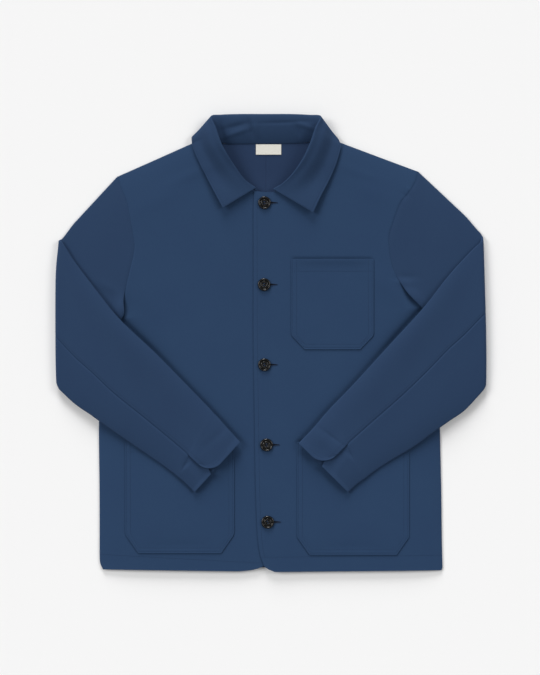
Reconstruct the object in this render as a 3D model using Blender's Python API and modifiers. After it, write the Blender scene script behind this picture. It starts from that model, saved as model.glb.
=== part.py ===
"""Chore jacket laid flat on its back, buttoned, with both sleeves folded over the fronts.

Frame: +X to the wearer's left, +Y from the hem to the collar, +Z up from the surface that
the jacket lies on, with the origin under the middle of its box.  Every table and constant
is in millimetres, and grid_object turns the finished surface to metres.

Each piece of cloth is a grid worked out from rails (its cut edges as they lie) and from
the height functions below, and a Solidify modifier gives it its wall.
"""
import math
from collections import namedtuple

import bmesh
import bpy
import numpy as np

# ---------------------------------------------------------------- driving dimensions
METRES = 0.001              # metres in a millimetre
COLLECTION = "chore_jacket"

CLOTH = 1.2                 # wall of one ply of drill
COLLAR_CLOTH = 2.2          # the collar is two plies, turned out
SEAM_GAP = 0.3              # air between two pieces that are sewn together
BEND_GAP = 0.6              # the same at the armholes, where two grids bend side by side

LOWER_Z = CLOTH / 2         # middle of the ply that lies on the surface
STACK = CLOTH + SEAM_GAP    # one ply on another
PUFF = 4.2                  # upper ply above the lower one, well inside the outline
PUFF_REACH = 30.0           # distance from a closed edge over which the puff builds up
SLEEVE_EDGE = 2.8           # height of a sleeve's rounded edge, ply middle to middle
HEM_FALL = 60.0             # the fronts settle towards the back this close to the hem
HEM_PUFF = 0.3              # share of the puff that is left at the hem
HEM_Y = -389.0
SLEEVE_SIDE_X = (255.0, 290.0)   # the closed edge rises to a sleeve's edge between these
SLEEVE_SIDE_Y = (-100.0, 0.0)

NECK_LIFT = 2.8             # the back neck lies on the collar's hidden fall
NECK_LIFT_Y = (265.0, 333.0)     # where that lift builds up, towards the collar
NECK_LIFT_X = (118.0, 215.0)     # and where it dies out, from the centre back
OVERLAP_STEP = 0.9          # over front up, under front down, about the buttoned overlap
OVERLAP_X = -10.0           # middle of that overlap
OVERLAP_REACH = (25.0, 75.0)     # the step dies out between these distances from it

FOLD_RADIUS = 2.0           # inner ply's middle at the sleeve's fold
FOLD_SETTLES = 0.35         # share of the forearm over which the fold's height settles
FOREARM_PUFF = 4.0          # the forearm's plies stand this much further apart
FOREARM_REACH = 22.0        # built up over this distance from its edges
CROWN_LIFT = 2.5            # its crown edge stands this far off the front
CROWN_REACH = 20.0          # and comes down over this distance
SLEEVE_SEAM_SET = 4.0       # front sleeve seam, in from the rounded under edge
FRONT_SEAM_GAP = 1.4        # along the row there, because the fold draws the seam aslant
BACK_SEAM_GAP = 0.4         # along the row at the back sleeve seam
VENT_UNDERLAP = 14.0        # under sleeve beneath the cuff flap
VENT_DROP = 1.7             # and below it
VENT_EASE = (14.0, 34.0)    # the under sleeve comes back up between these from its edge
FLAP_RADIUS = 30.0          # rounded corner of the cuff flap
FLAP_TRIM = 1.0             # share of the round taken off along the sleeve
FLAP_LIFT = 1.6             # the flap stands off the under sleeve
FLAP_REACH = 30.0           # over this distance from its edge
NODE_CLEARANCE = 0.04       # a row keeps its points this share away from its seams

BUTTON_RADIUS = 10.9
BUTTON_HEIGHT = 3.4
BUTTON_HOLE_RADIUS = 1.1
BUTTON_HOLE_SPREAD = 1.7    # hole centres from the button's centre, along X and Y

LABEL_WALL = 1.0
LABEL_GAP = 0.4             # air between the label and the back
POCKET_REACH = 60.0         # a pocket's slack builds up over this distance from its edges

COLLAR_SECTIONS = 28
COLLAR_STAND, COLLAR_FALL = 6, 8     # points up the stand and down the fall
COLLAR_NECK_RISE = 0.2      # the collar's base above the ply it is sewn to
COLLAR_BACK_RISE = 0.5      # more of it at the back neck, which lies lower
COLLAR_EDGE_RISE = 0.3      # the free edge above the fronts
COLLAR_GROUND = 0.05        # least air under the fall behind the neck
COLLAR_EDGE_GROUND = 0.1    # and under its free edge there
STAND_LEAN = 0.35           # how upright the stand leaves the neck, as a share of its chord
ROLL_FULLNESS = 1.6         # how round the roll is, as a share of its height
STAND_FULLNESS = 0.8        # and the same on the stand's side, as a share of the fall's
PANEL_STEP = 62.0           # longest stretch of a panel between two rows of its grid

# Edge rows of the body, hem to shoulder: where the front's inner edge (button edge, then
# neckline) and its outer edge (side seam, then armhole) lie.
BodyRow = namedtuple("BodyRow", "place inner_x inner_y outer_x outer_y")
FRONT_LEFT = [
    BodyRow("hem", 6, -389, 289.5, -386.5),
    BodyRow("hem corner", -7, -383, 291, -382),
    BodyRow("hem corner end", -14, -374, 291, -373),
    BodyRow("hip pocket foot", -22, -338, 290, -332),
    BodyRow("hip", -26, -252, 289, -250),
    BodyRow("waist", -28, -131, 287, -148),
    BodyRow("lower chest", -30, 5, 287, -49),
    BodyRow("armpit", -30, 82, 287, 14),
    BodyRow("armhole foot", -30, 138, 257, 59),
    BodyRow("armhole lower", -30, 184, 226, 94),
    BodyRow("armhole scoop", -30, 223, 207, 127),
    BodyRow("neck corner", -29, 258, 200, 175),
    BodyRow("collar end", 6, 256, 208, 207),
    BodyRow("neck 1", 27, 269, 220, 238),
    BodyRow("neck 2", 44, 287, 231, 252),
    BodyRow("neck 3", 59, 311, 241, 266),
    BodyRow("neck 4", 73, 335, 247, 278),
    BodyRow("shoulder", 78, 355, 249, 291.5),
]
FRONT_RIGHT = [
    BodyRow("hem", -53, -388, -286, -385),
    BodyRow("hem corner", -29, -385, -291, -374),
    BodyRow("hem corner mid", -10, -377, -292, -362),
    BodyRow("hem corner end", 4, -360, -292, -345),
    BodyRow("hip pocket foot", 9, -332, -292, -318),
    BodyRow("hip", 10, -252, -292, -250),
    BodyRow("waist", 10, -131, -293, -139),
    BodyRow("lower chest", 10, 5, -290, -49),
    BodyRow("armpit", 10, 82, -288, 5),
    BodyRow("armhole foot", 10, 138, -255, 42),
    BodyRow("armhole crease", 10, 175, -252, 73),
    BodyRow("armhole lower", 10, 218, -242, 117),
    BodyRow("neck corner", 9, 257, -233, 158),
    BodyRow("collar end", -26, 257, -235, 182),
    BodyRow("neck 1", -47, 268, -239, 206),
    BodyRow("neck 2", -68, 286, -244, 233),
    BodyRow("neck 3", -85, 311, -251, 253),
    BodyRow("neck 4", -94, 335, -258, 270),
    BodyRow("shoulder", -98, 355, -261, 283),
]
# The back's inner edge is the centre back seam and then the back neck.
BACK_SEAM_X = -9.0
BACK_HEM_Y = -382.0
BACK_HEM_RISE = 3.0         # from the centre to the side seams
BACK_NECK_LEFT = [(-9, 339), (33, 339.4), (60, 340.2), (72, 343), (78, 355)]
BACK_NECK_RIGHT = [(-9, 339), (-53, 338.4), (-80, 338.4), (-91, 341), (-98, 355)]

# Soft folds of the fronts: middle, direction of the ridge, half length, half width, height.
Fold = namedtuple("Fold", "x y angle length width height")
FRONT_FOLDS = [
    Fold(-215, 90, -64, 60, 18, 1.3),
    Fold(200, 95, -38, 62, 18, 1.3),
    Fold(-180, 250, 28, 60, 16, 0.9),
    Fold(165, 262, -22, 55, 16, 0.9),
    Fold(-120, -60, 82, 120, 22, 0.8),
    Fold(120, -60, 96, 110, 22, 0.8),
]

# A sleeve's edges: the fold across it, then stations down the folded forearm to the cuff.
# vent is 0 where the back seam is closed, 0.5 where the under sleeve has dropped below the
# flap, and 1 where its underlap has come out beneath it.
SleeveRow = namedtuple("SleeveRow", "place crown_x crown_y under_x under_y vent")
Sleeve = namedtuple("Sleeve", "fold_x out_crown_y out_under_y back_seam rows")
SLEEVE_LEFT = Sleeve(360.1, 187, -62, 0.50, [
    SleeveRow("fold", 360, 170, 360, -80, 0),
    SleeveRow("elbow", 327, 142, 329, -113, 0),
    SleeveRow("forearm 1", 298, 110, 302, -132, 0),
    SleeveRow("forearm 2", 257, 58, 272, -153, 0),
    SleeveRow("forearm 3", 204, 0, 241, -176, 0),
    SleeveRow("forearm 4", 140, -70, 190, -207, 0),
    SleeveRow("vent top", 104, -107, 162, -227, 0),
    SleeveRow("vent drop", 96, -116, 157, -231, 0.5),
    SleeveRow("vent lap", 88, -125, 152, -234, 1),
    SleeveRow("cuff stitching", 72, -144, 143, -241, 1),
    SleeveRow("cuff", 47, -170, 130, -253, 0.65),
])
SLEEVE_RIGHT = Sleeve(-360.1, 176, -52, 0.67, [
    SleeveRow("fold", -360, 172, -360, -78, 0),
    SleeveRow("elbow", -332, 135, -333, -103, 0),
    SleeveRow("forearm 1", -303, 97, -304, -123, 0),
    SleeveRow("forearm 2", -257, 40, -271, -147, 0),
    SleeveRow("forearm 3", -196, -18, -232, -174, 0),
    SleeveRow("forearm 4", -138, -77, -190, -203, 0),
    SleeveRow("vent top", -105, -111, -164, -222, 0),
    SleeveRow("vent drop", -97, -120, -158, -227, 0.5),
    SleeveRow("vent lap", -90, -127, -153, -231, 1),
    SleeveRow("cuff stitching", -76, -143, -144, -239, 1),
    SleeveRow("cuff", -53, -168, -130, -253, 0.65),
])

# Collar sections from the wearer's right end, round the back, to the left end: where it is
# sewn to the neck, its roll line and its free edge.  leaf says what the edge lies on:
# 1 the front, 0 the surface behind the neck.  tilt is the roll's tangent, degrees down.
CollarRow = namedtuple("CollarRow", "neck_x neck_y roll_x roll_y roll_z edge_x edge_y leaf tilt")
COLLAR = [
    CollarRow(-25, 259, -27, 263, 11, -82, 229, 1.0, 5),
    CollarRow(-46, 269.5, -46, 277, 15, -97, 257, 1.0, 5),
    CollarRow(-66.5, 287.5, -62, 298, 19, -110, 282, 1.0, 8),
    CollarRow(-83, 311.5, -77, 320, 24, -123, 308, 1.0, 10),
    CollarRow(-92, 335, -88, 340, 26, -132, 329, 1.0, 10),
    CollarRow(-93, 345, -96, 364, 24, -135, 343, 1.0, 20),
    CollarRow(-91, 344.5, -102, 383, 17, -132, 351, 0.6, 50),
    CollarRow(-80, 340.5, -84, 386.3, 12, -112, 352, 0.0, 80),
    CollarRow(-53, 340, -53, 387.3, 12, -62, 346, 0.0, 90),
    CollarRow(-9, 340.5, -9, 387.3, 12, -9, 344, 0.0, 90),
    CollarRow(33, 341, 33, 387.3, 12, 42, 346, 0.0, 90),
    CollarRow(62, 342.5, 64, 386, 12, 94, 352, 0.0, 80),
    CollarRow(72.5, 346, 84, 383, 17, 110, 349, 0.6, 50),
    CollarRow(74, 346, 77, 364, 24, 117.5, 338, 1.0, 20),
    CollarRow(71, 335, 69, 340, 26, 117, 328, 1.0, 10),
    CollarRow(57, 312, 56, 312, 24, 110, 304, 1.0, 10),
    CollarRow(42, 288.5, 38, 287, 19, 98, 276, 1.0, 8),
    CollarRow(25, 271, 21, 271, 15, 84, 249, 1.0, 5),
    CollarRow(7, 258.5, 4, 261, 11, 71, 221, 1.0, 5),
]

# Patch pockets: top corners, straight sides down to the cut corners, and the bottom.
Pocket = namedtuple("Pocket", "name side left right top cut_y bottom cut slack")
POCKETS = [
    Pocket("chest_pocket", 1, 34, 174, 142, 13, -11, 23, 0.5),
    Pocket("hip_pocket_left", 1, 44, 234, -168, -330, -360, 21, 0.8),
    Pocket("hip_pocket_right", -1, -248, -63, -165, -325, -357, 22, 0.8),
]

BUTTON_PLACES = [(-11.5, 238), (-12, 99), (-11.5, -37), (-8, -173), (-6, -304)]

LABEL_LEFT, LABEL_RIGHT = -26.0, 17.0
LABEL_TOP, LABEL_BOTTOM = 337.5, 320.0


# ---------------------------------------------------------------- scene and materials
def clear_scene():
    """Remove every object, so that the script can be run again."""
    for thing in list(bpy.data.objects):
        bpy.data.objects.remove(thing, do_unlink=True)


def new_collection(name):
    """A collection linked to the scene."""
    group = bpy.data.collections.new(name)
    bpy.context.scene.collection.children.link(group)
    return group


def principled(name, colour, roughness, metallic=0.0):
    """A Principled material with one colour."""
    material = bpy.data.materials.new(name)
    material.use_nodes = True
    shader = material.node_tree.nodes["Principled BSDF"]
    shader.inputs["Base Color"].default_value = (*colour, 1.0)
    shader.inputs["Roughness"].default_value = roughness
    shader.inputs["Metallic"].default_value = metallic
    return material


def grid_object(name, points, thickness, material, group):
    """A cloth piece: points (rows, columns, xyz) as a grid, with its wall from Solidify."""
    rows, columns = points.shape[:2]
    mesh = bpy.data.meshes.new(name)
    surface = bmesh.new()
    bmesh.ops.create_grid(surface, x_segments=columns - 1, y_segments=rows - 1, size=0.5)
    surface.verts.ensure_lookup_table()
    for vertex, place in zip(surface.verts, points.reshape(-1, 3) * METRES):
        vertex.co = place
    surface.to_mesh(mesh)
    surface.free()
    mesh.materials.append(material)
    thing = bpy.data.objects.new(name, mesh)
    group.objects.link(thing)
    wall = thing.modifiers.new("wall", "SOLIDIFY")
    wall.thickness = thickness * METRES
    wall.offset = 0.0
    wall.use_even_offset = True
    wall.use_quality_normals = True
    return thing


# ---------------------------------------------------------------- curves and blends
def ease(low, high, value):
    """0 below low, 1 above high, and a smooth rise between them."""
    part = np.clip((value - low) / (high - low), 0.0, 1.0)
    return part * part * (3.0 - 2.0 * part)


def subdivided(rows, longest):
    """The rows of a table of numbers, with more between any two that lie far apart."""
    rows = np.asarray(rows, float)
    finer = [rows[0]]
    for before, after in zip(rows[:-1], rows[1:]):
        steps = max(1, math.ceil(np.abs(after - before).max() / longest))
        finer += [before + (after - before) * k / steps for k in range(1, steps + 1)]
    return np.array(finer)


def along(points, fractions):
    """Places on a polyline at fractions of its length."""
    points = np.asarray(points, float)
    lengths = np.concatenate([[0.0], np.cumsum(np.hypot(*np.diff(points, axis=0).T))])
    where = np.asarray(fractions) * lengths[-1]
    return np.stack([np.interp(where, lengths, column) for column in points.T], axis=-1)


def smooth_rows(rows, fractions):
    """A Catmull-Rom curve through the rows of a table, read at fractions of its row count."""
    rows = np.asarray(rows, float)
    ends = np.vstack([2 * rows[0] - rows[1], rows, 2 * rows[-1] - rows[-2]])
    place = np.asarray(fractions) * (len(rows) - 1)
    start = np.clip(place.astype(int), 0, len(rows) - 2)
    t = (place - start)[:, None]
    a, b, c, d = (ends[start + k] for k in range(4))
    return 0.5 * (2 * b + (c - a) * t + (2 * a - 5 * b + 4 * c - d) * t**2
                  + (3 * b - a - 3 * c + d) * t**3)


# ---------------------------------------------------------------- heights of the plies
def closed_edges():
    """The segments along which front and back plies are joined: sides, shoulders, sleeves."""
    segments = []
    for rows, sleeve in ((FRONT_LEFT, SLEEVE_LEFT), (FRONT_RIGHT, SLEEVE_RIGHT)):
        outer = {row.place: (row.outer_x, row.outer_y) for row in rows}
        last = rows[-1]
        line = [outer["hem corner"], outer["hip"], outer["waist"], outer["armpit"]]
        line.append((sleeve.fold_x, sleeve.out_under_y))
        segments += zip(line[:-1], line[1:])
        line = [(last.inner_x, last.inner_y), outer["shoulder"]]
        line.append((sleeve.fold_x, sleeve.out_crown_y))
        segments += zip(line[:-1], line[1:])
    return [(np.array(a, float), np.array(b, float)) for a, b in segments]


CLOSED_EDGES = closed_edges()


def edge_distance(x, y):
    """Distance in plan from each point to the nearest closed edge."""
    nearest = np.full(np.shape(x), 1e9)
    for start, end in CLOSED_EDGES:
        run = end - start
        part = np.clip(((x - start[0]) * run[0] + (y - start[1]) * run[1]) / (run @ run), 0, 1)
        gap = np.hypot(x - start[0] - part * run[0], y - start[1] - part * run[1])
        nearest = np.minimum(nearest, gap)
    return nearest


def lower_height(x, y):
    """Middle of the ply that lies on the surface: flat, but lifted at the back neck."""
    sideways = np.abs(x - BACK_SEAM_X)
    return LOWER_Z + NECK_LIFT * ease(*NECK_LIFT_Y, y) * (1 - ease(*NECK_LIFT_X, sideways))


def upper_height(x, y):
    """Middle of the upper ply: joined at the closed edges, puffed up between them."""
    sleeve_side = ease(*SLEEVE_SIDE_X, np.abs(x)) * ease(*SLEEVE_SIDE_Y, y)
    edge = STACK + (SLEEVE_EDGE - STACK) * sleeve_side
    rise = (PUFF - edge) * (1 - np.exp(-edge_distance(x, y) / PUFF_REACH))
    settle = HEM_PUFF + (1 - HEM_PUFF) * ease(HEM_Y, HEM_Y + HEM_FALL, y)
    folds = np.zeros(np.shape(x))
    for fold in FRONT_FOLDS:
        turn = math.radians(fold.angle)
        run = (x - fold.x) * math.cos(turn) + (y - fold.y) * math.sin(turn)
        across = (y - fold.y) * math.cos(turn) - (x - fold.x) * math.sin(turn)
        folds += fold.height * np.exp(-(run / fold.length) ** 2 - (across / fold.width) ** 2)
    return lower_height(x, y) + edge + rise * settle + folds * (rise / PUFF)


def front_height(side, x, y):
    """Middle of a front: the upper ply, stepped about the buttoned overlap."""
    away = np.abs(x - OVERLAP_X)
    return upper_height(x, y) + side * OVERLAP_STEP * (1 - ease(*OVERLAP_REACH, away))


# ---------------------------------------------------------------- body panels
def panel_points(inner, outer, height, columns=10):
    """Rows of places between two rails, closer together near the rails, at a height."""
    across = 0.5 - 0.5 * np.cos(np.pi * np.linspace(0, 1, columns))
    across = (0.6 * across + 0.4 * np.linspace(0, 1, columns))[None, :, None]
    plan = inner[:, None, :] * (1 - across) + outer[:, None, :] * across
    x, y = plan[..., 0], plan[..., 1]
    return np.stack([x, y, height(x, y)], axis=-1)


def make_front(name, side, rows, material, group):
    """A front: between its button edge and neckline, and its side seam and armhole."""
    table = subdivided([row[1:] for row in rows], PANEL_STEP)
    points = panel_points(table[:, 0:2], table[:, 2:4], lambda x, y: front_height(side, x, y))
    grid_object(name, points, CLOTH, material, group)


def make_back(name, side, rows, neck, material, group):
    """Half the back: between the centre back seam and back neck, and the side and armhole."""
    outer = np.array([(row.outer_x, row.outer_y) for row in rows], float)
    outer[:, 1] = np.maximum(outer[:, 1], BACK_HEM_Y + BACK_HEM_RISE)
    neck_row = [row.place for row in rows].index("neck 1")
    seam_y = np.interp(outer[:neck_row + 1, 1], outer[[0, neck_row], 1], [BACK_HEM_Y, neck[0][1]])
    seam = np.column_stack([np.full(neck_row + 1, BACK_SEAM_X + side * SEAM_GAP), seam_y])
    table = subdivided(np.hstack([np.vstack([seam, neck[1:]]), outer]), PANEL_STEP)
    points = panel_points(table[:, 0:2], table[:, 2:4], lower_height, columns=8)
    grid_object(name, points, CLOTH, material, group)


# ---------------------------------------------------------------- sleeves
def armhole_line(side, body_rows):
    """The sleeve's first row, just outside the body's armhole, and its points' fractions."""
    places = [row.place for row in body_rows]
    body = body_rows[places.index("armpit"):][::-1]
    armhole = np.array([(row.outer_x + side * BEND_GAP, row.outer_y) for row in body])
    armhole[-1] += (side * BEND_GAP, 0)
    lengths = np.concatenate([[0.0], np.cumsum(np.hypot(*np.diff(armhole, axis=0).T))])
    return armhole, lengths / lengths[-1]


def sleeve_rows(side, sleeve, body_rows):
    """Every row across a sleeve, armhole to cuff.

    A row is (polyline from crown edge to under edge, stage, part, vent): stage is "out",
    "fold" or "back", and part runs from 0 to 1 through that stage.
    """
    armhole, fractions = armhole_line(side, body_rows)
    start = along(armhole, fractions)
    fold_out = along([(sleeve.fold_x, sleeve.out_crown_y), (sleeve.fold_x, sleeve.out_under_y)],
                     fractions)
    back = sleeve.rows
    fold_back = along([(sleeve.fold_x, back[0].crown_y), (sleeve.fold_x, back[0].under_y)],
                      fractions)
    rows = [(start * (1 - part) + fold_out * part, "out", part, 0) for part in (0, 0.3, 0.65, 1)]
    rows += [(fold_out * (1 - part) + fold_back * part, "fold", part, 0)
             for part in (0.2, 0.4, 0.6, 0.8)]
    for number, row in enumerate(back):
        line = along([(row.crown_x, row.crown_y), (row.under_x, row.under_y)], fractions)
        rows.append((line, "back", number / (len(back) - 1), row.vent))
    return rows


def ring_columns(width, nodes, low, high, shares=(0.0, 1.0)):
    """Distances from the crown edge, low to high, through the armhole's own points.

    Between the two ends the points are the armhole's, as shares of the row's width, so that
    the first row bends where the body's armhole does.  Only points inside shares are kept.
    """
    first, last = shares
    inner = nodes[(nodes > first + NODE_CLEARANCE) & (nodes < last - NODE_CLEARANCE)]
    return np.concatenate([[low], inner * width, [high]])


def sleeve_place(side, sleeve, row, across, face):
    """Places on a sleeve's row: across is the distance from the crown edge, face 0 to 1.

    face 0 is the front ply, which ends up inside the fold, and face 1 the back ply.  Going
    out, the back ply lies on the surface.  At the fold both turn about one axis above the
    front ply, and coming back they lie on the fronts, the back ply on top.
    """
    line, stage, part, _ = row
    width = row_width(row)
    plan = along(line, np.clip(across / width, 0, 1))
    x, y = plan[:, 0], plan[:, 1]
    if stage == "out":
        top, bottom = upper_height(x, y), lower_height(x, y)
        return np.stack([x, y, top + face * (bottom - top)], axis=-1)
    spread = np.minimum(across, width - across)
    thick = SLEEVE_EDGE + (PUFF - SLEEVE_EDGE) * (1 - np.exp(-np.maximum(spread, 0) / PUFF_REACH))
    inner_z = LOWER_Z + thick
    axis_z = inner_z + FOLD_RADIUS
    if stage == "fold":
        radius = FOLD_RADIUS + face * thick
        angle = math.pi * part
        return np.stack([x + side * radius * math.sin(angle), y,
                         axis_z - radius * math.cos(angle)], axis=-1)
    level = LOWER_Z + PUFF + 2 * FOLD_RADIUS
    settled = ease(0, FOLD_SETTLES, part)
    inner_z = (axis_z + FOLD_RADIUS) * (1 - settled) + level * settled
    inner_z += CROWN_LIFT * settled * np.exp(-(across / CROWN_REACH) ** 2)
    thick = thick + FOREARM_PUFF * settled * (1 - np.exp(-np.maximum(spread, 0) / FOREARM_REACH))
    return np.stack([x, y, inner_z + face * thick], axis=-1)


def row_width(row):
    """Length of a sleeve row from the crown edge to the under edge."""
    return np.hypot(*np.diff(row[0], axis=0).T).sum()


def half_ring(count):
    """The turn of a rounded edge: how far in from the edge, and the face, front to back."""
    angle = np.linspace(0, math.pi, count)
    return SLEEVE_EDGE / 2 * (1 - np.sin(angle)), (1 - np.cos(angle)) / 2


def make_top_sleeve(name, side, sleeve, body_rows, material, group):
    """Front seam, over the crown edge, to the back seam, with the cuff flap's round corner."""
    rows = sleeve_rows(side, sleeve, body_rows)
    nodes = armhole_line(side, body_rows)[1]
    turn, turn_face = half_ring(4)
    edge = SLEEVE_EDGE / 2
    cuff = rows[-1][0]
    points = []
    for row in rows:
        width = row_width(row)
        seam = sleeve.back_seam * width
        front = ring_columns(width, nodes, edge, width - edge - SLEEVE_SEAM_SET)[::-1]
        back = ring_columns(width, nodes, edge, seam, (0.0, sleeve.back_seam))
        across = np.concatenate([front[:-1], turn, back[1:]])
        face = np.concatenate([np.zeros(len(front) - 1), turn_face, np.ones(len(back) - 1)])
        places = sleeve_place(side, sleeve, row, across, face)
        near_seam = ease(seam - FLAP_REACH, seam, across) * (face == 1)
        places[:, 2] += FLAP_LIFT * row[3] * near_seam
        if row is rows[-1]:
            down = cuff[0] - rows[-3][0][0]
            down = down / np.hypot(*down)
            into = np.clip(across - (seam - FLAP_RADIUS), 0, FLAP_RADIUS) * (face == 1)
            trim = FLAP_RADIUS - np.sqrt(np.maximum(FLAP_RADIUS**2 - into**2, 0))
            places[:, 0:2] -= FLAP_TRIM * trim[:, None] * down
        points.append(places)
    grid_object(name, np.array(points), CLOTH, material, group)


def make_under_sleeve(name, side, sleeve, body_rows, material, group):
    """Back seam, round the under edge, to the front seam, with the vent's underlap."""
    rows = sleeve_rows(side, sleeve, body_rows)
    nodes = armhole_line(side, body_rows)[1]
    turn, turn_face = half_ring(4)
    edge = SLEEVE_EDGE / 2
    points = []
    for row in rows:
        width = row_width(row)
        vent = row[3]
        seam = sleeve.back_seam * width + BACK_SEAM_GAP
        seam -= VENT_UNDERLAP * max(0.0, 2 * vent - 1)
        back = ring_columns(width, nodes, seam, width - edge, (sleeve.back_seam, 1.0))
        stub = width - edge - SLEEVE_SEAM_SET + FRONT_SEAM_GAP
        across = np.concatenate([back[:-1], width - turn[::-1], [stub]])
        face = np.concatenate([np.ones(len(back) - 1), turn_face[::-1], [0.0]])
        places = sleeve_place(side, sleeve, row, across, face)
        near_seam = 1 - ease(*VENT_EASE, across - seam)
        places[:, 2] -= VENT_DROP * min(1.0, 2 * vent) * near_seam * (face == 1)
        points.append(places)
    grid_object(name, np.array(points), CLOTH, material, group)


# ---------------------------------------------------------------- collar
def hermite(start, end, start_pull, end_pull, part):
    """A cubic from start to end that leaves and arrives along the two pulls."""
    t = part[:, None]
    return ((2 * t**3 - 3 * t**2 + 1) * start + (t**3 - 2 * t**2 + t) * start_pull
            + (3 * t**2 - 2 * t**3) * end + (t**3 - t**2) * end_pull)


def collar_section(row):
    """One section of the collar: up the stand from the neck, over the roll, down the fall."""
    half = COLLAR_CLOTH / 2
    front_z = upper_height(np.array(row.neck_x), np.array(row.neck_y))
    back_z = lower_height(np.array(row.neck_x), np.array(row.neck_y)) + COLLAR_BACK_RISE
    neck_z = front_z * row.leaf + back_z * (1 - row.leaf) + COLLAR_NECK_RISE
    rest = upper_height(np.array(row.edge_x), np.array(row.edge_y)) + CLOTH / 2 + SEAM_GAP + half
    edge_z = ((rest + COLLAR_EDGE_RISE) * row.leaf
              + (half + COLLAR_EDGE_GROUND) * (1 - row.leaf))
    neck = np.array([row.neck_x, row.neck_y, neck_z])
    roll = np.array([row.roll_x, row.roll_y, row.roll_z])
    edge = np.array([row.edge_x, row.edge_y, edge_z])
    outward = (edge - roll) * (1, 1, 0)
    outward = outward / np.linalg.norm(outward)
    tilt = math.radians(row.tilt)
    roll_way = outward * math.cos(tilt) - np.array([0, 0, math.sin(tilt)])
    chord = roll - neck
    up = np.array([0, 0, np.linalg.norm(chord) * STAND_LEAN])
    pull = roll_way * ROLL_FULLNESS * (row.roll_z - edge_z)
    stand = hermite(neck, roll, chord + up, pull * STAND_FULLNESS,
                    np.linspace(0, 1, COLLAR_STAND))
    fall = hermite(roll, edge, pull, outward * np.linalg.norm((edge - roll)[:2]),
                   np.linspace(0, 1, COLLAR_FALL))
    return np.concatenate([stand, fall[1:]])


def make_collar(name, material, group):
    """The collar: sections read smoothly from the table, kept clear of the fronts."""
    table = smooth_rows(COLLAR, np.linspace(0, 1, COLLAR_SECTIONS))
    rows = [CollarRow(*values) for values in table]
    points = np.array([collar_section(row) for row in rows])
    x, y, z = points[..., 0], points[..., 1], points[..., 2]
    fall = np.arange(points.shape[1])[None, :] >= COLLAR_STAND
    lies = np.array([row.leaf >= 0.99 for row in rows])[:, None] & fall
    floor = upper_height(x, y) + CLOTH / 2 + SEAM_GAP + COLLAR_CLOTH / 2
    ground = COLLAR_CLOTH / 2 + COLLAR_GROUND
    points[..., 2] = np.where(lies, np.maximum(z, floor), np.maximum(z, ground))
    grid_object(name, points, COLLAR_CLOTH, material, group)


# ---------------------------------------------------------------- pockets, label, buttons
def make_pocket(pocket, material, group):
    """A patch pocket: the front's own surface under it, moved out, with cut corners."""
    depth = np.concatenate([np.linspace(pocket.top, pocket.cut_y, 5)[:-1],
                            np.linspace(pocket.cut_y, pocket.bottom, 3)])
    cut = np.interp(depth, [pocket.bottom, pocket.cut_y], [pocket.cut, 0])
    left = np.stack([pocket.left + cut, depth], axis=-1)
    right = np.stack([pocket.right - cut, depth], axis=-1)

    def height(x, y):
        """The front's height, with slack in the middle of the pocket."""
        inward = np.minimum(np.minimum(x - pocket.left, pocket.right - x), y - pocket.bottom)
        slack = pocket.slack * ease(0, POCKET_REACH, inward)
        return front_height(pocket.side, x, y) + STACK + slack

    grid_object(pocket.name, panel_points(left, right, height, columns=7), CLOTH, material, group)


def make_label(name, material, group):
    """The neck label: a bare patch on the back, just under the neck seam."""
    depth = np.linspace(LABEL_TOP, LABEL_BOTTOM, 4)
    left = np.stack([np.full(4, LABEL_LEFT), depth], axis=-1)
    right = np.stack([np.full(4, LABEL_RIGHT), depth], axis=-1)
    lift = CLOTH / 2 + LABEL_GAP + LABEL_WALL / 2
    points = panel_points(left, right, lambda x, y: lower_height(x, y) + lift, columns=6)
    grid_object(name, points, LABEL_WALL, material, group)


def make_button(name, x, y, material, group, cutters):
    """A turned four-hole button with a raised rim, lying on the over front."""
    radius, height = BUTTON_RADIUS, BUTTON_HEIGHT
    profile = [(0.0, height - 1.5), (radius * 0.55, height - 1.4), (radius * 0.68, height - 0.3),
               (radius * 0.82, height), (radius * 0.95, height - 0.5), (radius, height - 1.5),
               (radius * 0.9, 0.3), (radius * 0.7, 0.0), (0.0, 0.0)]
    mesh = bpy.data.meshes.new(name)
    mesh.from_pydata([(r * METRES, 0, z * METRES) for r, z in profile],
                     [(k, k + 1) for k in range(len(profile) - 1)], [])
    mesh.materials.append(material)
    button = bpy.data.objects.new(name, mesh)
    group.objects.link(button)
    at = np.array(x, float), np.array(y, float)
    seat = float(front_height(1, *at)) + CLOTH / 2 + SEAM_GAP
    button.location = (x * METRES, y * METRES, seat * METRES)
    spin = button.modifiers.new("turned", "SCREW")
    spin.steps = spin.render_steps = 20
    spin.use_merge_vertices = True
    spin.merge_threshold = 0.00001
    holes = bmesh.new()
    for dx in (-1, 1):
        for dy in (-1, 1):
            made = bmesh.ops.create_cone(holes, cap_ends=True, segments=6,
                                         radius1=BUTTON_HOLE_RADIUS * METRES,
                                         radius2=BUTTON_HOLE_RADIUS * METRES,
                                         depth=3 * height * METRES)
            shift = (dx * BUTTON_HOLE_SPREAD * METRES, dy * BUTTON_HOLE_SPREAD * METRES, 0)
            bmesh.ops.translate(holes, verts=made["verts"], vec=shift)
    hole_mesh = bpy.data.meshes.new(name + "_holes")
    holes.to_mesh(hole_mesh)
    holes.free()
    cutter = bpy.data.objects.new(name + "_holes", hole_mesh)
    cutter.location = button.location
    cutter.hide_render = True
    cutter.display_type = "WIRE"
    cutters.objects.link(cutter)
    pierce = button.modifiers.new("holes", "BOOLEAN")
    pierce.object = cutter
    pierce.operation = "DIFFERENCE"


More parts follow.
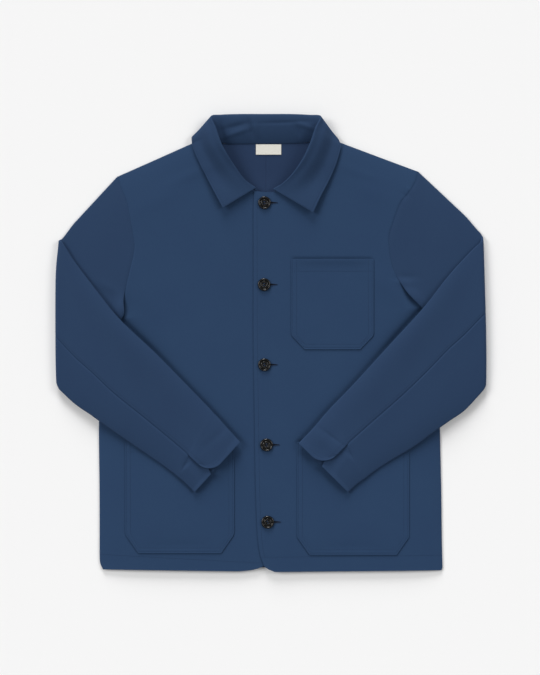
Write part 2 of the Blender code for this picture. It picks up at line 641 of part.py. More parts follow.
# ---------------------------------------------------------------- the jacket
def main():
    """Build every piece of the jacket."""
    clear_scene()
    jacket = new_collection(COLLECTION)
    cutters = new_collection("cutters")
    drill = principled("navy_cotton_drill", (0.026, 0.048, 0.105), 0.85)
    inside = principled("navy_drill_inside", (0.022, 0.040, 0.088), 0.88)
    horn = principled("dark_horn_button", (0.018, 0.014, 0.013), 0.35)
    tape = principled("white_label_tape", (0.72, 0.71, 0.66), 0.8)

    make_back("back_left", 1, FRONT_LEFT, BACK_NECK_LEFT, inside, jacket)
    make_back("back_right", -1, FRONT_RIGHT, BACK_NECK_RIGHT, inside, jacket)
    make_front("front_left", 1, FRONT_LEFT, drill, jacket)
    make_front("front_right", -1, FRONT_RIGHT, drill, jacket)
    make_top_sleeve("top_sleeve_left", 1, SLEEVE_LEFT, FRONT_LEFT, drill, jacket)
    make_under_sleeve("under_sleeve_left", 1, SLEEVE_LEFT, FRONT_LEFT, drill, jacket)
    make_top_sleeve("top_sleeve_right", -1, SLEEVE_RIGHT, FRONT_RIGHT, drill, jacket)
    make_under_sleeve("under_sleeve_right", -1, SLEEVE_RIGHT, FRONT_RIGHT, drill, jacket)
    make_collar("collar", drill, jacket)
    for pocket in POCKETS:
        make_pocket(pocket, drill, jacket)
    make_label("neck_label", tape, jacket)
    for number, (x, y) in enumerate(BUTTON_PLACES, start=1):
        make_button(f"button_{number}", x, y, horn, jacket, cutters)


main()
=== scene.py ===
"""Looks of a chore jacket that lies flat on its back, buttoned, with its sleeves folded over.

Frame: +X to the wearer's left, +Y from the hem to the collar, +Z up from the surface that the
jacket lies on.  Tables and sizes are in millimetres, and Surface.build turns them to metres.
"""
import logging
import math
from dataclasses import dataclass
from enum import Enum
from typing import Callable, NamedTuple

import bmesh
import bpy
import numpy as np
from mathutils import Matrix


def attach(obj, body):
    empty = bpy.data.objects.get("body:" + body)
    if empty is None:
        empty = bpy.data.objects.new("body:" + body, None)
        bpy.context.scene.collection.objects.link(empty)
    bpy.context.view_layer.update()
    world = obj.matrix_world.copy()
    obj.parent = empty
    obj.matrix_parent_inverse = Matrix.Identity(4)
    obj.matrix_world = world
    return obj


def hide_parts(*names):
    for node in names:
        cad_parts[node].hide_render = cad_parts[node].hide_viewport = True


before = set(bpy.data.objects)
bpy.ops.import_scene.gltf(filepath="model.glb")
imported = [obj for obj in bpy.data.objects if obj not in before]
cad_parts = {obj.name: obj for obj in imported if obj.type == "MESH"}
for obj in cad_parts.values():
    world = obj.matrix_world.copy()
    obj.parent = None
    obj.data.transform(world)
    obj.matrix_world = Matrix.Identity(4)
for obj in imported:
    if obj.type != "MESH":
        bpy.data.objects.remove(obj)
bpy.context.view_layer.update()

LOG = logging.getLogger("chore_jacket")
Array = np.ndarray
MM = 0.001
ROOT = "root"


class Side(Enum):
    """The wearer's side: its value is the sign of X there."""

    LEFT = 1
    RIGHT = -1


class Hold(Enum):
    """How a piece of cloth lies."""

    LAID = "laid"
    FOLDED = "folded"


class Slot(Enum):
    """The record's material slots."""

    DRILL = "drill"
    INSIDE = "drill_inside"
    TAPE = "label_tape"
    HORN = "button_horn"


# ---------------------------------------------------------------- tables of the jacket's lie
class BodyRow(NamedTuple):
    """A row across a front: its inner edge (button edge, neckline) and its outer edge."""

    place: str
    inner_x: float
    inner_y: float
    outer_x: float
    outer_y: float


class Fold(NamedTuple):
    """A soft fold: middle, direction of its ridge in degrees, half length, half width, height."""

    x: float
    y: float
    angle: float
    length: float
    width: float
    height: float


class SleeveRow(NamedTuple):
    """A station down the folded forearm: crown edge, under edge, and how open the vent is."""

    crown_x: float
    crown_y: float
    under_x: float
    under_y: float
    vent: float


class CollarRow(NamedTuple):
    """A section of the collar: neck seam, roll line, free edge, what it lies on, roll tilt."""

    neck_x: float
    neck_y: float
    roll_x: float
    roll_y: float
    roll_z: float
    edge_x: float
    edge_y: float
    leaf: float
    tilt: float


FRONT_ROWS: dict[Side, list[BodyRow]] = {
    Side.LEFT: [
        BodyRow("hem", 6, -389, 289.5, -386.5),
        BodyRow("hem corner", -7, -383, 291, -382),
        BodyRow("hem corner end", -14, -374, 291, -373),
        BodyRow("hip pocket foot", -22, -338, 290, -332),
        BodyRow("hip", -26, -252, 289, -250),
        BodyRow("waist", -28, -131, 287, -148),
        BodyRow("lower chest", -30, 5, 287, -49),
        BodyRow("armpit", -30, 82, 287, 14),
        BodyRow("armhole foot", -30, 138, 257, 59),
        BodyRow("armhole lower", -30, 184, 226, 94),
        BodyRow("armhole scoop", -30, 223, 207, 127),
        BodyRow("neck corner", -29, 258, 200, 175),
        BodyRow("collar end", 6, 256, 208, 207),
        BodyRow("neck 1", 27, 269, 220, 238),
        BodyRow("neck 2", 44, 287, 231, 252),
        BodyRow("neck 3", 59, 311, 241, 266),
        BodyRow("neck 4", 73, 335, 247, 278),
        BodyRow("shoulder", 78, 355, 249, 291.5),
    ],
    Side.RIGHT: [
        BodyRow("hem", -53, -388, -286, -385),
        BodyRow("hem corner", -29, -385, -291, -374),
        BodyRow("hem corner mid", -10, -377, -292, -362),
        BodyRow("hem corner end", 4, -360, -292, -345),
        BodyRow("hip pocket foot", 9, -332, -292, -318),
        BodyRow("hip", 10, -252, -292, -250),
        BodyRow("waist", 10, -131, -293, -139),
        BodyRow("lower chest", 10, 5, -290, -49),
        BodyRow("armpit", 10, 82, -288, 5),
        BodyRow("armhole foot", 10, 138, -255, 42),
        BodyRow("armhole crease", 10, 175, -252, 73),
        BodyRow("armhole lower", 10, 218, -242, 117),
        BodyRow("neck corner", 9, 257, -233, 158),
        BodyRow("collar end", -26, 257, -235, 182),
        BodyRow("neck 1", -47, 268, -239, 206),
        BodyRow("neck 2", -68, 286, -244, 233),
        BodyRow("neck 3", -85, 311, -251, 253),
        BodyRow("neck 4", -94, 335, -258, 270),
        BodyRow("shoulder", -98, 355, -261, 283),
    ],
}
BACK_NECK: dict[Side, list[tuple[float, float]]] = {
    Side.LEFT: [(-9, 339), (33, 339.4), (60, 340.2), (72, 343), (78, 355)],
    Side.RIGHT: [(-9, 339), (-53, 338.4), (-80, 338.4), (-91, 341), (-98, 355)],
}
FRONT_FOLDS = [
    Fold(-215, 90, -64, 60, 18, 1.3),
    Fold(200, 95, -38, 62, 18, 1.3),
    Fold(-180, 250, 28, 60, 16, 0.9),
    Fold(165, 262, -22, 55, 16, 0.9),
    Fold(-120, -60, 82, 120, 22, 0.8),
    Fold(120, -60, 96, 110, 22, 0.8),
    Fold(236, 260, -40, 8, 3.0, 1.6),
    Fold(228, 250, -40, 7, 2.6, -1.5),
    Fold(232, 112, 2, 15, 3.4, -1.8),
    Fold(228, 103, 0, 15, 4.5, 1.6),
    Fold(-279, 97, -34, 17, 4.0, 1.6),
    Fold(-286, 86, -38, 19, 3.4, -1.6),
    Fold(-140, 285, 24, 42, 9, 1.2),
    Fold(150, 290, -20, 45, 9, 1.2),
]
STAND_FOLDS = [
    Fold(-34, 364, 103, 17, 2.4, -2.6),
    Fold(-27, 366, 103, 17, 4.0, 1.6),
    Fold(-58, 357, 18, 20, 3.2, 1.7),
    Fold(-60, 368, 14, 20, 4.0, -1.7),
    Fold(-84, 360, 100, 16, 5.0, -1.6),
    Fold(20, 374, 2, 40, 2.2, -1.1),
    Fold(58, 368, 160, 16, 3.6, 1.5),
    Fold(46, 360, 110, 10, 4.0, -1.3),
]
CUFF_FOLDS = [
    Fold(100, -157, -36, 26, 2.4, -1.1),
    Fold(92, -168, -36, 30, 9.0, 0.9),
    Fold(-94, -160, 42, 30, 6.0, -0.6),
    Fold(-70, -150, 50, 24, 8.0, 0.5),
]
SLEEVE_ROWS: dict[Side, list[SleeveRow]] = {
    Side.LEFT: [
        SleeveRow(360, 170, 360, -80, 0),
        SleeveRow(327, 142, 329, -113, 0),
        SleeveRow(298, 110, 302, -132, 0),
        SleeveRow(257, 58, 272, -153, 0),
        SleeveRow(204, 0, 241, -176, 0),
        SleeveRow(140, -70, 190, -207, 0),
        SleeveRow(104, -107, 162, -227, 0),
        SleeveRow(96, -116, 157, -231, 0.5),
        SleeveRow(88, -125, 152, -234, 1),
        SleeveRow(72, -144, 143, -241, 1),
        SleeveRow(47, -170, 130, -253, 0.65),
    ],
    Side.RIGHT: [
        SleeveRow(-360, 172, -360, -78, 0),
        SleeveRow(-332, 135, -333, -103, 0),
        SleeveRow(-303, 97, -304, -123, 0),
        SleeveRow(-257, 40, -271, -147, 0),
        SleeveRow(-196, -18, -232, -174, 0),
        SleeveRow(-138, -77, -190, -203, 0),
        SleeveRow(-105, -111, -164, -222, 0),
        SleeveRow(-97, -120, -158, -227, 0.5),
        SleeveRow(-90, -127, -153, -231, 1),
        SleeveRow(-76, -143, -144, -239, 1),
        SleeveRow(-53, -168, -130, -253, 0.65),
    ],
}
COLLAR_ROWS = [
    CollarRow(-25, 259, -27, 263, 11, -82, 229, 1.0, 5),
    CollarRow(-46, 269.5, -46, 277, 15, -97, 257, 1.0, 5),
    CollarRow(-66.5, 287.5, -62, 298, 19, -110, 282, 1.0, 8),
    CollarRow(-83, 311.5, -77, 320, 24, -123, 308, 1.0, 10),
    CollarRow(-92, 335, -88, 340, 26, -132, 329, 1.0, 10),
    CollarRow(-93, 345, -96, 364, 24, -135, 343, 1.0, 20),
    CollarRow(-91, 343.2, -102, 383, 17, -132, 351, 0.6, 50),
    CollarRow(-80, 339.2, -84, 386.3, 12, -112, 352, 0.0, 80),
    CollarRow(-53, 338.9, -53, 387.3, 12, -62, 346, 0.0, 90),
    CollarRow(-9, 339.4, -9, 387.3, 12, -9, 344, 0.0, 90),
    CollarRow(33, 339.8, 33, 387.3, 12, 42, 346, 0.0, 90),
    CollarRow(62, 341.2, 64, 386, 12, 94, 352, 0.0, 80),
    CollarRow(72.5, 346, 84, 383, 17, 110, 349, 0.6, 50),
    CollarRow(74, 346, 77, 364, 24, 117.5, 338, 1.0, 20),
    CollarRow(71, 335, 69, 340, 26, 117, 328, 1.0, 10),
    CollarRow(57, 312, 56, 312, 24, 110, 304, 1.0, 10),
    CollarRow(42, 288.5, 38, 287, 19, 98, 276, 1.0, 8),
    CollarRow(25, 271, 21, 271, 15, 84, 249, 1.0, 5),
    CollarRow(7, 258.5, 4, 261, 11, 71, 221, 1.0, 5),
]


# ---------------------------------------------------------------- curves and stations
def ease(low: float, high: float, value: Array) -> Array:
    """0 below low, 1 above high, and t * t * (3 - 2t) between them."""
    part = np.clip((value - low) / (high - low), 0.0, 1.0)
    return part * part * (3.0 - 2.0 * part)


def bell(value: Array, width: float) -> Array:
    """exp(-(value / width)^2): 1 in the middle, near 0 past two widths."""
    return np.exp(-((value / width) ** 2))


def rail(points: Array, places: Array, corners: tuple[int, ...] = ()) -> Array:
    """A smooth curve through points, read at places counted in points.

    Between two points it is the cubic Hermite curve whose slopes are the mean of the steps
    before and after each point, or one of them at a corner.

    Args:
        points: Rows of numbers, one for each point.
        places: Where to read, 0 at the first point and 1 at the next.
        corners: Points where the curve may turn sharply.

    Returns:
        One row for each place.
    """
    points = np.asarray(points, float)
    step = np.diff(points, axis=0)
    leave, arrive = np.vstack([step, step[-1:]]), np.vstack([step[:1], step])
    sharp = np.zeros((len(points), 1), bool)
    sharp[[0, -1, *corners]] = True
    mean = (leave + arrive) / 2
    leave, arrive = np.where(sharp, leave, mean), np.where(sharp, arrive, mean)
    start = np.clip(np.asarray(places, int), 0, len(points) - 2)
    t = (places - start)[:, None]
    return ((2 * t**3 - 3 * t**2 + 1) * points[start] + (t**3 - 2 * t**2 + t) * leave[start]
            + (3 * t**2 - 2 * t**3) * points[start + 1] + (t**3 - t**2) * arrive[start + 1])


def along(points: Array, fractions: Array) -> Array:
    """Places on a polyline at fractions of its length, for fractions of any shape."""
    lengths = np.concatenate([[0.0], np.cumsum(np.linalg.norm(np.diff(points, axis=0), axis=1))])
    where = np.asarray(fractions) * lengths[-1]
    return np.stack([np.interp(where, lengths, column) for column in points.T], axis=-1)


def table_places(table: Array, step: float, fine: int, fine_step: float) -> Array:
    """Places down a table of rails: each stretch is cut evenly into steps of a given length.

    Args:
        table: Rows of coordinates, as for rail.
        step: Longest step in mm.
        fine: How many first stretches take fine_step.
        fine_step: Longest step in those.
    """
    spans = np.abs(np.diff(table, axis=0)).max(axis=1)
    longest = np.where(np.arange(len(spans)) < fine, fine_step, step)
    counts = np.maximum(1, np.ceil(spans / longest)).astype(int)
    parts = [start + np.arange(count) / count for start, count in enumerate(counts)]
    return np.concatenate([*parts, [len(spans)]])


def stations(low: Array, high: Array, near: Array, step: float) -> Array:
    """Distances across each row: near ones from both ends, and even ones between.

    Args:
        low: First distance of each row.
        high: Last distance of each row.
        near: Distances from an end at which there is a station.
        step: Longest even step.

    Returns:
        An array (rows, stations).
    """
    low, high = np.broadcast_arrays(np.asarray(low, float), np.asarray(high, float))
    room = np.minimum(1.0, 0.45 * (high - low) / near[-1])[:, None]
    reach = near[-1] * room
    count = max(2, math.ceil(float((high - low).max() - 2 * near[-1]) / step))
    even = np.linspace(0, 1, count + 1)[1:-1]
    middle = low[:, None] + reach + even * ((high - low)[:, None] - 2 * reach)
    return np.hstack([low[:, None] + near * room, middle,
                      high[:, None] - near[::-1] * room])


NEAR_EDGE = np.array([0, 0.6, 1.2, 1.8, 2.5, 3.3, 4.2, 5.2, 6.4, 8.0, 10.5, 14.0])


# ---------------------------------------------------------------- finishes
def linear(code: str) -> tuple[float, float, float, float]:
    """A hex sRGB colour as linear RGBA."""
    shares = [int(code[k:k + 2], 16) / 255 for k in (1, 3, 5)]
    rgb = [s / 12.92 if s <= 0.04045 else ((s + 0.055) / 1.055) ** 2.4 for s in shares]
    return rgb[0], rgb[1], rgb[2], 1.0


def add_node(tree: bpy.types.NodeTree, kind: str, settings: dict | None = None,
             inputs: dict | None = None) -> bpy.types.Node:
    """Add a node to a tree.

    Args:
        tree: The material's node tree.
        kind: The node's type name.
        settings: Attributes to set.
        inputs: Values for sockets, where an output socket is linked and a number is set.

    Returns:
        The new node.
    """
    node = tree.nodes.new(kind)
    for name, value in (settings or {}).items():
        setattr(node, name, value)
    for name, value in (inputs or {}).items():
        if isinstance(value, bpy.types.NodeSocket):
            tree.links.new(value, node.inputs[name])
        else:
            node.inputs[name].default_value = value
    return node


def blank_material(name: str) -> tuple[bpy.types.Material, bpy.types.NodeTree, bpy.types.Node]:
    """A new material with its node tree and its Principled shader."""
    material = bpy.data.materials.new(name)
    material.use_nodes = True
    tree = material.node_tree
    return material, tree, tree.nodes["Principled BSDF"]


@dataclass(frozen=True)
class Drill:
    """Piece-dyed cotton drill: a 3/1 twill of hard-spun yarn, dyed navy after weaving.

    The eye gets a matt deep blue with a faint diagonal, a little unevenness where yarns are
    thicker, and a soft lift of light at grazing angles from the fibre ends.  Twill lines are
    0.75 mm apart, and drawn at twice that so that they still show from a distance.
    """

    name: str
    face: str
    deep: str
    twill_mm: float = 1.5
    slub_mm: float = 2.6
    cloud_mm: float = 70.0
    roughness: float = 0.86
    ridge: float = 0.10

    def build(self) -> bpy.types.Material:
        """Colour from two noises on the flat cut, and bump from twill lines and slubs."""
        material, tree, shader = blank_material(self.name)
        cut = add_node(tree, "ShaderNodeUVMap", {"uv_map": "cut"})
        turned = add_node(tree, "ShaderNodeMapping", None,
                          {"Vector": cut.outputs["UV"], "Rotation": (0, 0, math.radians(63))})
        # A wave's period is 2 pi / (20 * scale), in the map's own metres.
        twill = add_node(tree, "ShaderNodeTexWave", {"wave_type": "BANDS"}, {
            "Vector": turned.outputs["Vector"], "Scale": math.pi / (10 * self.twill_mm * MM),
            "Distortion": 0.6, "Detail": 1.0, "Detail Scale": 0.4})
        stretched = add_node(tree, "ShaderNodeMapping", None,
                             {"Vector": cut.outputs["UV"], "Scale": (1.0, 0.35, 1.0)})
        slub = add_node(tree, "ShaderNodeTexNoise", None, {
            "Vector": stretched.outputs["Vector"], "Scale": 1 / (self.slub_mm * MM),
            "Detail": 3.0, "Roughness": 0.6})
        cloud = add_node(tree, "ShaderNodeTexNoise", None, {
            "Vector": cut.outputs["UV"], "Scale": 1 / (self.cloud_mm * MM), "Detail": 2.0})
        mottle = add_node(tree, "ShaderNodeMath", {"operation": "MULTIPLY"}, {
            0: slub.outputs["Fac"], 1: 0.55})
        blend = add_node(tree, "ShaderNodeMath", {"operation": "MULTIPLY_ADD", "use_clamp": True}, {
            0: cloud.outputs["Fac"], 1: 0.45, 2: mottle.outputs["Value"]})
        colour = add_node(tree, "ShaderNodeMix", {"data_type": "RGBA"}, {
            0: blend.outputs["Value"], 6: linear(self.deep), 7: linear(self.face)})
        relief = add_node(tree, "ShaderNodeMath", {"operation": "MULTIPLY_ADD"}, {
            0: twill.outputs["Fac"], 1: 0.5, 2: slub.outputs["Fac"]})
        bump = add_node(tree, "ShaderNodeBump", None, {
            "Height": relief.outputs["Value"], "Distance": self.ridge * MM, "Strength": 0.5})
        tree.links.new(colour.outputs[2], shader.inputs["Base Color"])
        tree.links.new(bump.outputs["Normal"], shader.inputs["Normal"])
        shader.inputs["Roughness"].default_value = self.roughness
        shader.inputs["Specular IOR Level"].default_value = 0.18
        shader.inputs["Sheen Weight"].default_value = 0.05
        shader.inputs["Sheen Roughness"].default_value = 0.45
        shader.inputs["Sheen Tint"].default_value = linear("#8CA0C0")
        return material


@dataclass(frozen=True)
class SewingThread:
    """Spun polyester sewing thread: two twisted plies, a little smoother than the cloth."""

    name: str
    colour: str
    ply_mm: float = 0.9

    def build(self) -> bpy.types.Material:
        """Plain dyed colour with a twist drawn as bump on Object coordinates."""
        material, tree, shader = blank_material(self.name)
        place = add_node(tree, "ShaderNodeTexCoord")
        twist = add_node(tree, "ShaderNodeTexNoise", None, {
            "Vector": place.outputs["Object"], "Scale": 1 / (self.ply_mm * MM), "Detail": 1.0})
        bump = add_node(tree, "ShaderNodeBump", None, {
            "Height": twist.outputs["Fac"], "Distance": 0.1 * MM, "Strength": 0.6})
        tree.links.new(bump.outputs["Normal"], shader.inputs["Normal"])
        shader.inputs["Base Color"].default_value = linear(self.colour)
        shader.inputs["Roughness"].default_value = 0.7
        shader.inputs["Specular IOR Level"].default_value = 0.12
        return material


@dataclass(frozen=True)
class HornPolyester:
    """Cast polyester button, turned and polished: near-black brown with faint lighter streaks."""

    name: str = "polished_horn_look_polyester"
    dark: str = "#060606"
    streak: str = "#16120F"
    streak_mm: float = 5.0

    def build(self) -> bpy.types.Material:
        """Streaks from stretched noise on Object coordinates, polished."""
        material, tree, shader = blank_material(self.name)
        place = add_node(tree, "ShaderNodeTexCoord")
        drawn = add_node(tree, "ShaderNodeMapping", None, {
            "Vector": place.outputs["Object"], "Rotation": (0, 0, 0.6), "Scale": (1.0, 0.3, 1.0)})
        streaks = add_node(tree, "ShaderNodeTexNoise", None, {
            "Vector": drawn.outputs["Vector"], "Scale": 1 / (self.streak_mm * MM),
            "Detail": 4.0, "Distortion": 0.8})
        share = add_node(tree, "ShaderNodeMapRange", None, {
            "Value": streaks.outputs["Fac"], "From Min": 0.45, "From Max": 0.8})
        colour = add_node(tree, "ShaderNodeMix", {"data_type": "RGBA"}, {
            0: share.outputs["Result"], 6: linear(self.dark), 7: linear(self.streak)})
        tree.links.new(colour.outputs[2], shader.inputs["Base Color"])
        shader.inputs["Roughness"].default_value = 0.15
        shader.inputs["IOR"].default_value = 1.54
        shader.inputs["Specular IOR Level"].default_value = 0.45
        return material


@dataclass(frozen=True)
class WovenTape:
    """Woven cotton label tape: off-white, fine ribs across it."""

    name: str = "off_white_woven_tape"
    colour: str = "#DDDBD2"
    rib_mm: float = 0.8

    def build(self) -> bpy.types.Material:
        """One colour, with ribs as a wave on the flat cut."""
        material, tree, shader = blank_material(self.name)
        cut = add_node(tree, "ShaderNodeUVMap", {"uv_map": "cut"})
        rib = add_node(tree, "ShaderNodeTexWave", {"wave_type": "BANDS", "bands_direction": "Y"}, {
            "Vector": cut.outputs["UV"], "Scale": math.pi / (10 * self.rib_mm * MM)})
        bump = add_node(tree, "ShaderNodeBump", None, {
            "Height": rib.outputs["Fac"], "Distance": 0.08 * MM, "Strength": 0.5})
        tree.links.new(bump.outputs["Normal"], shader.inputs["Normal"])
        shader.inputs["Base Color"].default_value = linear(self.colour)
        shader.inputs["Roughness"].default_value = 0.8
        return material


# ---------------------------------------------------------------- surfaces
@dataclass
class Surface:
    """A surface on a grid, in mm: its points and where each lies on the flat cut.

    Attributes:
        points: Array (rows, columns, 3).
        cut: Array (rows, columns, 2).
    """

    points: Array
    cut: Array

    def normals(self) -> Array:
        """Unit normals: the cross product of the grid's two tangents, turned upwards."""
        normal = np.cross(np.gradient(self.points, axis=1), np.gradient(self.points, axis=0))
        normal /= np.maximum(np.linalg.norm(normal, axis=-1, keepdims=True), 1e-9)
        return normal

    def at(self, rows: Array, columns: Array, field: Array) -> Array:
        """A field of the grid, read between its points (bilinear) at fractional indices."""
        r = np.clip(rows.astype(int), 0, field.shape[0] - 2)
        c = np.clip(columns.astype(int), 0, field.shape[1] - 2)
        u, v = (rows - r)[:, None], (columns - c)[:, None]
        return ((1 - u) * (1 - v) * field[r, c] + u * (1 - v) * field[r + 1, c]
                + (1 - u) * v * field[r, c + 1] + u * v * field[r + 1, c + 1])

    def path(self, turns: list[tuple[float, float]], lift: float) -> tuple[Array, Array]:
        """A line over the surface through turns, given as (row, column) indices.

        Args:
            turns: Corners of the line in index space.
            lift: How far above the middle surface it lies.

        Returns:
            Its points, and the normals there, which point up.
        """
        turns_array = np.asarray(turns, float)
        spans = np.abs(np.diff(turns_array, axis=0)).max(axis=1)
        counts = np.maximum(2, np.ceil(spans * 2)).astype(int)
        places = np.concatenate([k + np.arange(n) / n for k, n in enumerate(counts)]
                                + [[float(len(counts))]])
        index = np.arange(len(turns_array))
        rows = np.interp(places, index, turns_array[:, 0])
        columns = np.interp(places, index, turns_array[:, 1])
        normals = self.at(rows, columns, self.normals())
        normals *= np.where(normals[:, 2:] < 0, -1, 1)
        normals /= np.linalg.norm(normals, axis=1, keepdims=True)
        return self.at(rows, columns, self.points) + normals * lift, normals

    def build(self, name: str, material: bpy.types.Material, wall: float = 0.0) -> bpy.types.Object:
        """The mesh object, with its wall from Solidify and a small Bevel on the wall's rim.

        Args:
            name: The object's name.
            material: Its finish.
            wall: Thickness in mm, or 0 for a surface that is closed already.

        Returns:
            The object, riding on the jacket's body.
        """
        rows, columns = self.points.shape[:2]
        corner = np.arange(rows * columns).reshape(rows, columns)
        quads = np.stack([corner[:-1, :-1], corner[:-1, 1:], corner[1:, 1:], corner[1:, :-1]], -1)
        thing = mesh_object(name, self.points, quads.reshape(-1, 4).tolist(), material)
        mesh = thing.data
        loops = np.zeros(len(mesh.loops), np.int32)
        mesh.loops.foreach_get("vertex_index", loops)
        layer = mesh.uv_layers.new(name="cut")
        places = (self.cut.reshape(-1, 2)[loops] * MM).astype(np.float32)
        layer.data.foreach_set("uv", places.ravel())
        if wall:
            solid = thing.modifiers.new("wall", "SOLIDIFY")
            solid.thickness = wall * MM
            solid.offset = 0.0
            solid.use_even_offset = False
            round_off = thing.modifiers.new("rim", "BEVEL")
            round_off.width = 0.28 * wall * MM
            round_off.segments = 2
            round_off.limit_method = "ANGLE"
            round_off.angle_limit = math.radians(55)
        return thing


def mesh_object(name: str, points: Array, faces: list[list[int]], material: bpy.types.Material
                ) -> bpy.types.Object:
    """A smooth-shaded mesh that rides on the jacket's body."""
    mesh = bpy.data.meshes.new(name)
    mesh.from_pydata((points.reshape(-1, 3) * MM).tolist(), [], faces)
    mesh.shade_smooth()
    mesh.materials.append(material)
    thing = bpy.data.objects.new(name, mesh)
    bpy.context.scene.collection.objects.link(thing)
    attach(thing, ROOT)
    return thing


def tube_faces(strands: int, rings: int, sides: int) -> Array:
    """Quads of many closed tubes whose points are numbered strand, ring, side."""
    index = np.arange(strands * rings * sides).reshape(strands, rings, sides)
    after = np.roll(index, -1, axis=2)
    quads = np.stack([index[:, :-1], after[:, :-1], after[:, 1:], index[:, 1:]], axis=-1)
    return quads.reshape(-1, 4)


def declare_sheet(node: str) -> None:
    """Hide the CAD node that a piece stands for."""
    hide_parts(node)


# ---------------------------------------------------------------- how the plies lie
@dataclass
class Lie:
    """Heights of the jacket's plies above the surface, as functions of place.

    A pair of sizes is where something begins and where it is complete.
    """

    cloth: float = 1.2
    seam_gap: float = 0.3
    puff: float = 6.8
    puff_reach: float = 30.0
    sleeve_puff: float = 4.2
    sleeve_edge: float = 2.8
    sleeve_side_x: tuple[float, float] = (255.0, 290.0)
    sleeve_side_y: tuple[float, float] = (-100.0, 0.0)
    neck_lift: float = 2.8
    neck_lift_x: tuple[float, float] = (118.0, 215.0)
    neck_lift_y: tuple[float, float] = (265.0, 333.0)
    overlap_step: float = 0.9
    overlap_x: float = -10.0
    overlap_reach: tuple[float, float] = (25.0, 75.0)
    centre_x: float = -9.0
    hem_y: float = -389.0
    hem_fall: float = 60.0
    hem_puff: float = 0.9
    press: float = 6.0
    press_reach: float = 6.5
    press_least: float = 0.4
    press_y: tuple[float, float] = (-60.0, 20.0)
    mouth_drop: float = 1.6
    mouth_y: float = 0.6
    mouth_reach: float = 2.0
    mouth_end: float = 5.0

    @property
    def lower_z(self) -> float:
        """Middle of the ply on the surface."""
        return self.cloth / 2

    @property
    def stack(self) -> float:
        """One ply on another."""
        return self.cloth + self.seam_gap

    def closed_edges(self) -> list[tuple[Array, Array]]:
        """Segments along which front and back plies are joined: sides, shoulders, sleeves."""
        segments = []
        for side, rows in FRONT_ROWS.items():
            outer = {row.place: (row.outer_x, row.outer_y) for row in rows}
            sleeve = SLEEVES[side]
            under = [outer[k] for k in ("hem corner", "hip", "waist", "armpit")]
            under.append((sleeve.fold_x, sleeve.out_under_y))
            crown = [(rows[-1].inner_x, rows[-1].inner_y), outer["shoulder"],
                     (sleeve.fold_x, sleeve.out_crown_y)]
            segments += [*zip(under[:-1], under[1:]), *zip(crown[:-1], crown[1:])]
        return [(np.array(a, float), np.array(b, float)) for a, b in segments]

    def pressed(self, side: Side, x: Array, y: Array) -> Array:
        """How far a front is pressed down along the sleeve that lies on it.

        It is press * exp(-distance / reach), and less towards the hem.
        """
        crown = np.array([row[:2] for row in SLEEVE_ROWS[side]], float)
        near = self.edge_distance(x, y, list(zip(crown[:-1], crown[1:])))
        share = self.press_least + (1 - self.press_least) * ease(*self.press_y, y)
        return self.press * np.exp(-near / self.press_reach) * share

    def edge_distance(self, x: Array, y: Array, edges: list[tuple[Array, Array]]) -> Array:
        """Distance in plan to the nearest of some straight edges."""
        nearest = np.full(np.shape(x), 1e9)
        for start, end in edges:
            run = end - start
            part = ((x - start[0]) * run[0] + (y - start[1]) * run[1]) / (run @ run)
            part = np.clip(part, 0, 1)
            gap = np.hypot(x - start[0] - part * run[0], y - start[1] - part * run[1])
            nearest = np.minimum(nearest, gap)
        return nearest

    def lower(self, x: Array, y: Array) -> Array:
        """The ply on the surface: flat, but lifted at the back neck by the collar's fall."""
        sideways = 1 - ease(*self.neck_lift_x, np.abs(x - self.centre_x))
        return self.lower_z + self.neck_lift * ease(*self.neck_lift_y, y) * sideways

    def folds(self, x: Array, y: Array, folds: list[Fold]) -> Array:
        """Sum of soft ridges: height * bell(along / length) * bell(across / width)."""
        total = np.zeros(np.shape(x))
        for fold in folds:
            turn = math.radians(fold.angle)
            run = (x - fold.x) * math.cos(turn) + (y - fold.y) * math.sin(turn)
            across = (y - fold.y) * math.cos(turn) - (x - fold.x) * math.sin(turn)
            total += fold.height * bell(run, fold.length) * bell(across, fold.width)
        return total

    def upper(self, x: Array, y: Array) -> Array:
        """The upper ply: an edge height, a puff of 1 - exp(-distance / reach), and folds."""
        sleeve_side = ease(*self.sleeve_side_x, np.abs(x)) * ease(*self.sleeve_side_y, y)
        edge = self.stack + (self.sleeve_edge - self.stack) * sleeve_side
        rise = (self.puff - edge) * (
            1 - np.exp(-self.edge_distance(x, y, self.closed_edges()) / self.puff_reach))
        off_hem = ease(self.hem_y, self.hem_y + self.hem_fall, y)
        settle = self.hem_puff + (1 - self.hem_puff) * off_hem
        folds = self.folds(x, y, FRONT_FOLDS) * (rise / self.puff)
        return self.lower(x, y) + edge + rise * settle + folds

    def front(self, side: Side, x: Array, y: Array) -> Array:
        """A front: the upper ply, stepped about the buttoned overlap."""
        near = 1 - ease(*self.overlap_reach, np.abs(x - self.overlap_x))
        return self.upper(x, y) + side.value * self.overlap_step * near

    def under_mouths(self, side: Side, x: Array, y: Array) -> Array:
        """How far a front hangs away from its pockets' mouths: drop * bell(dy / reach)."""
        total = np.zeros(np.shape(x))
        for pocket in POCKETS:
            if pocket.side is side:
                inside = ease(pocket.left, pocket.left + self.mouth_end, x) * (
                    1 - ease(pocket.right - self.mouth_end, pocket.right, x))
                total += self.mouth_drop * inside * bell(y - pocket.top - self.mouth_y,
                                                         self.mouth_reach)
        return total


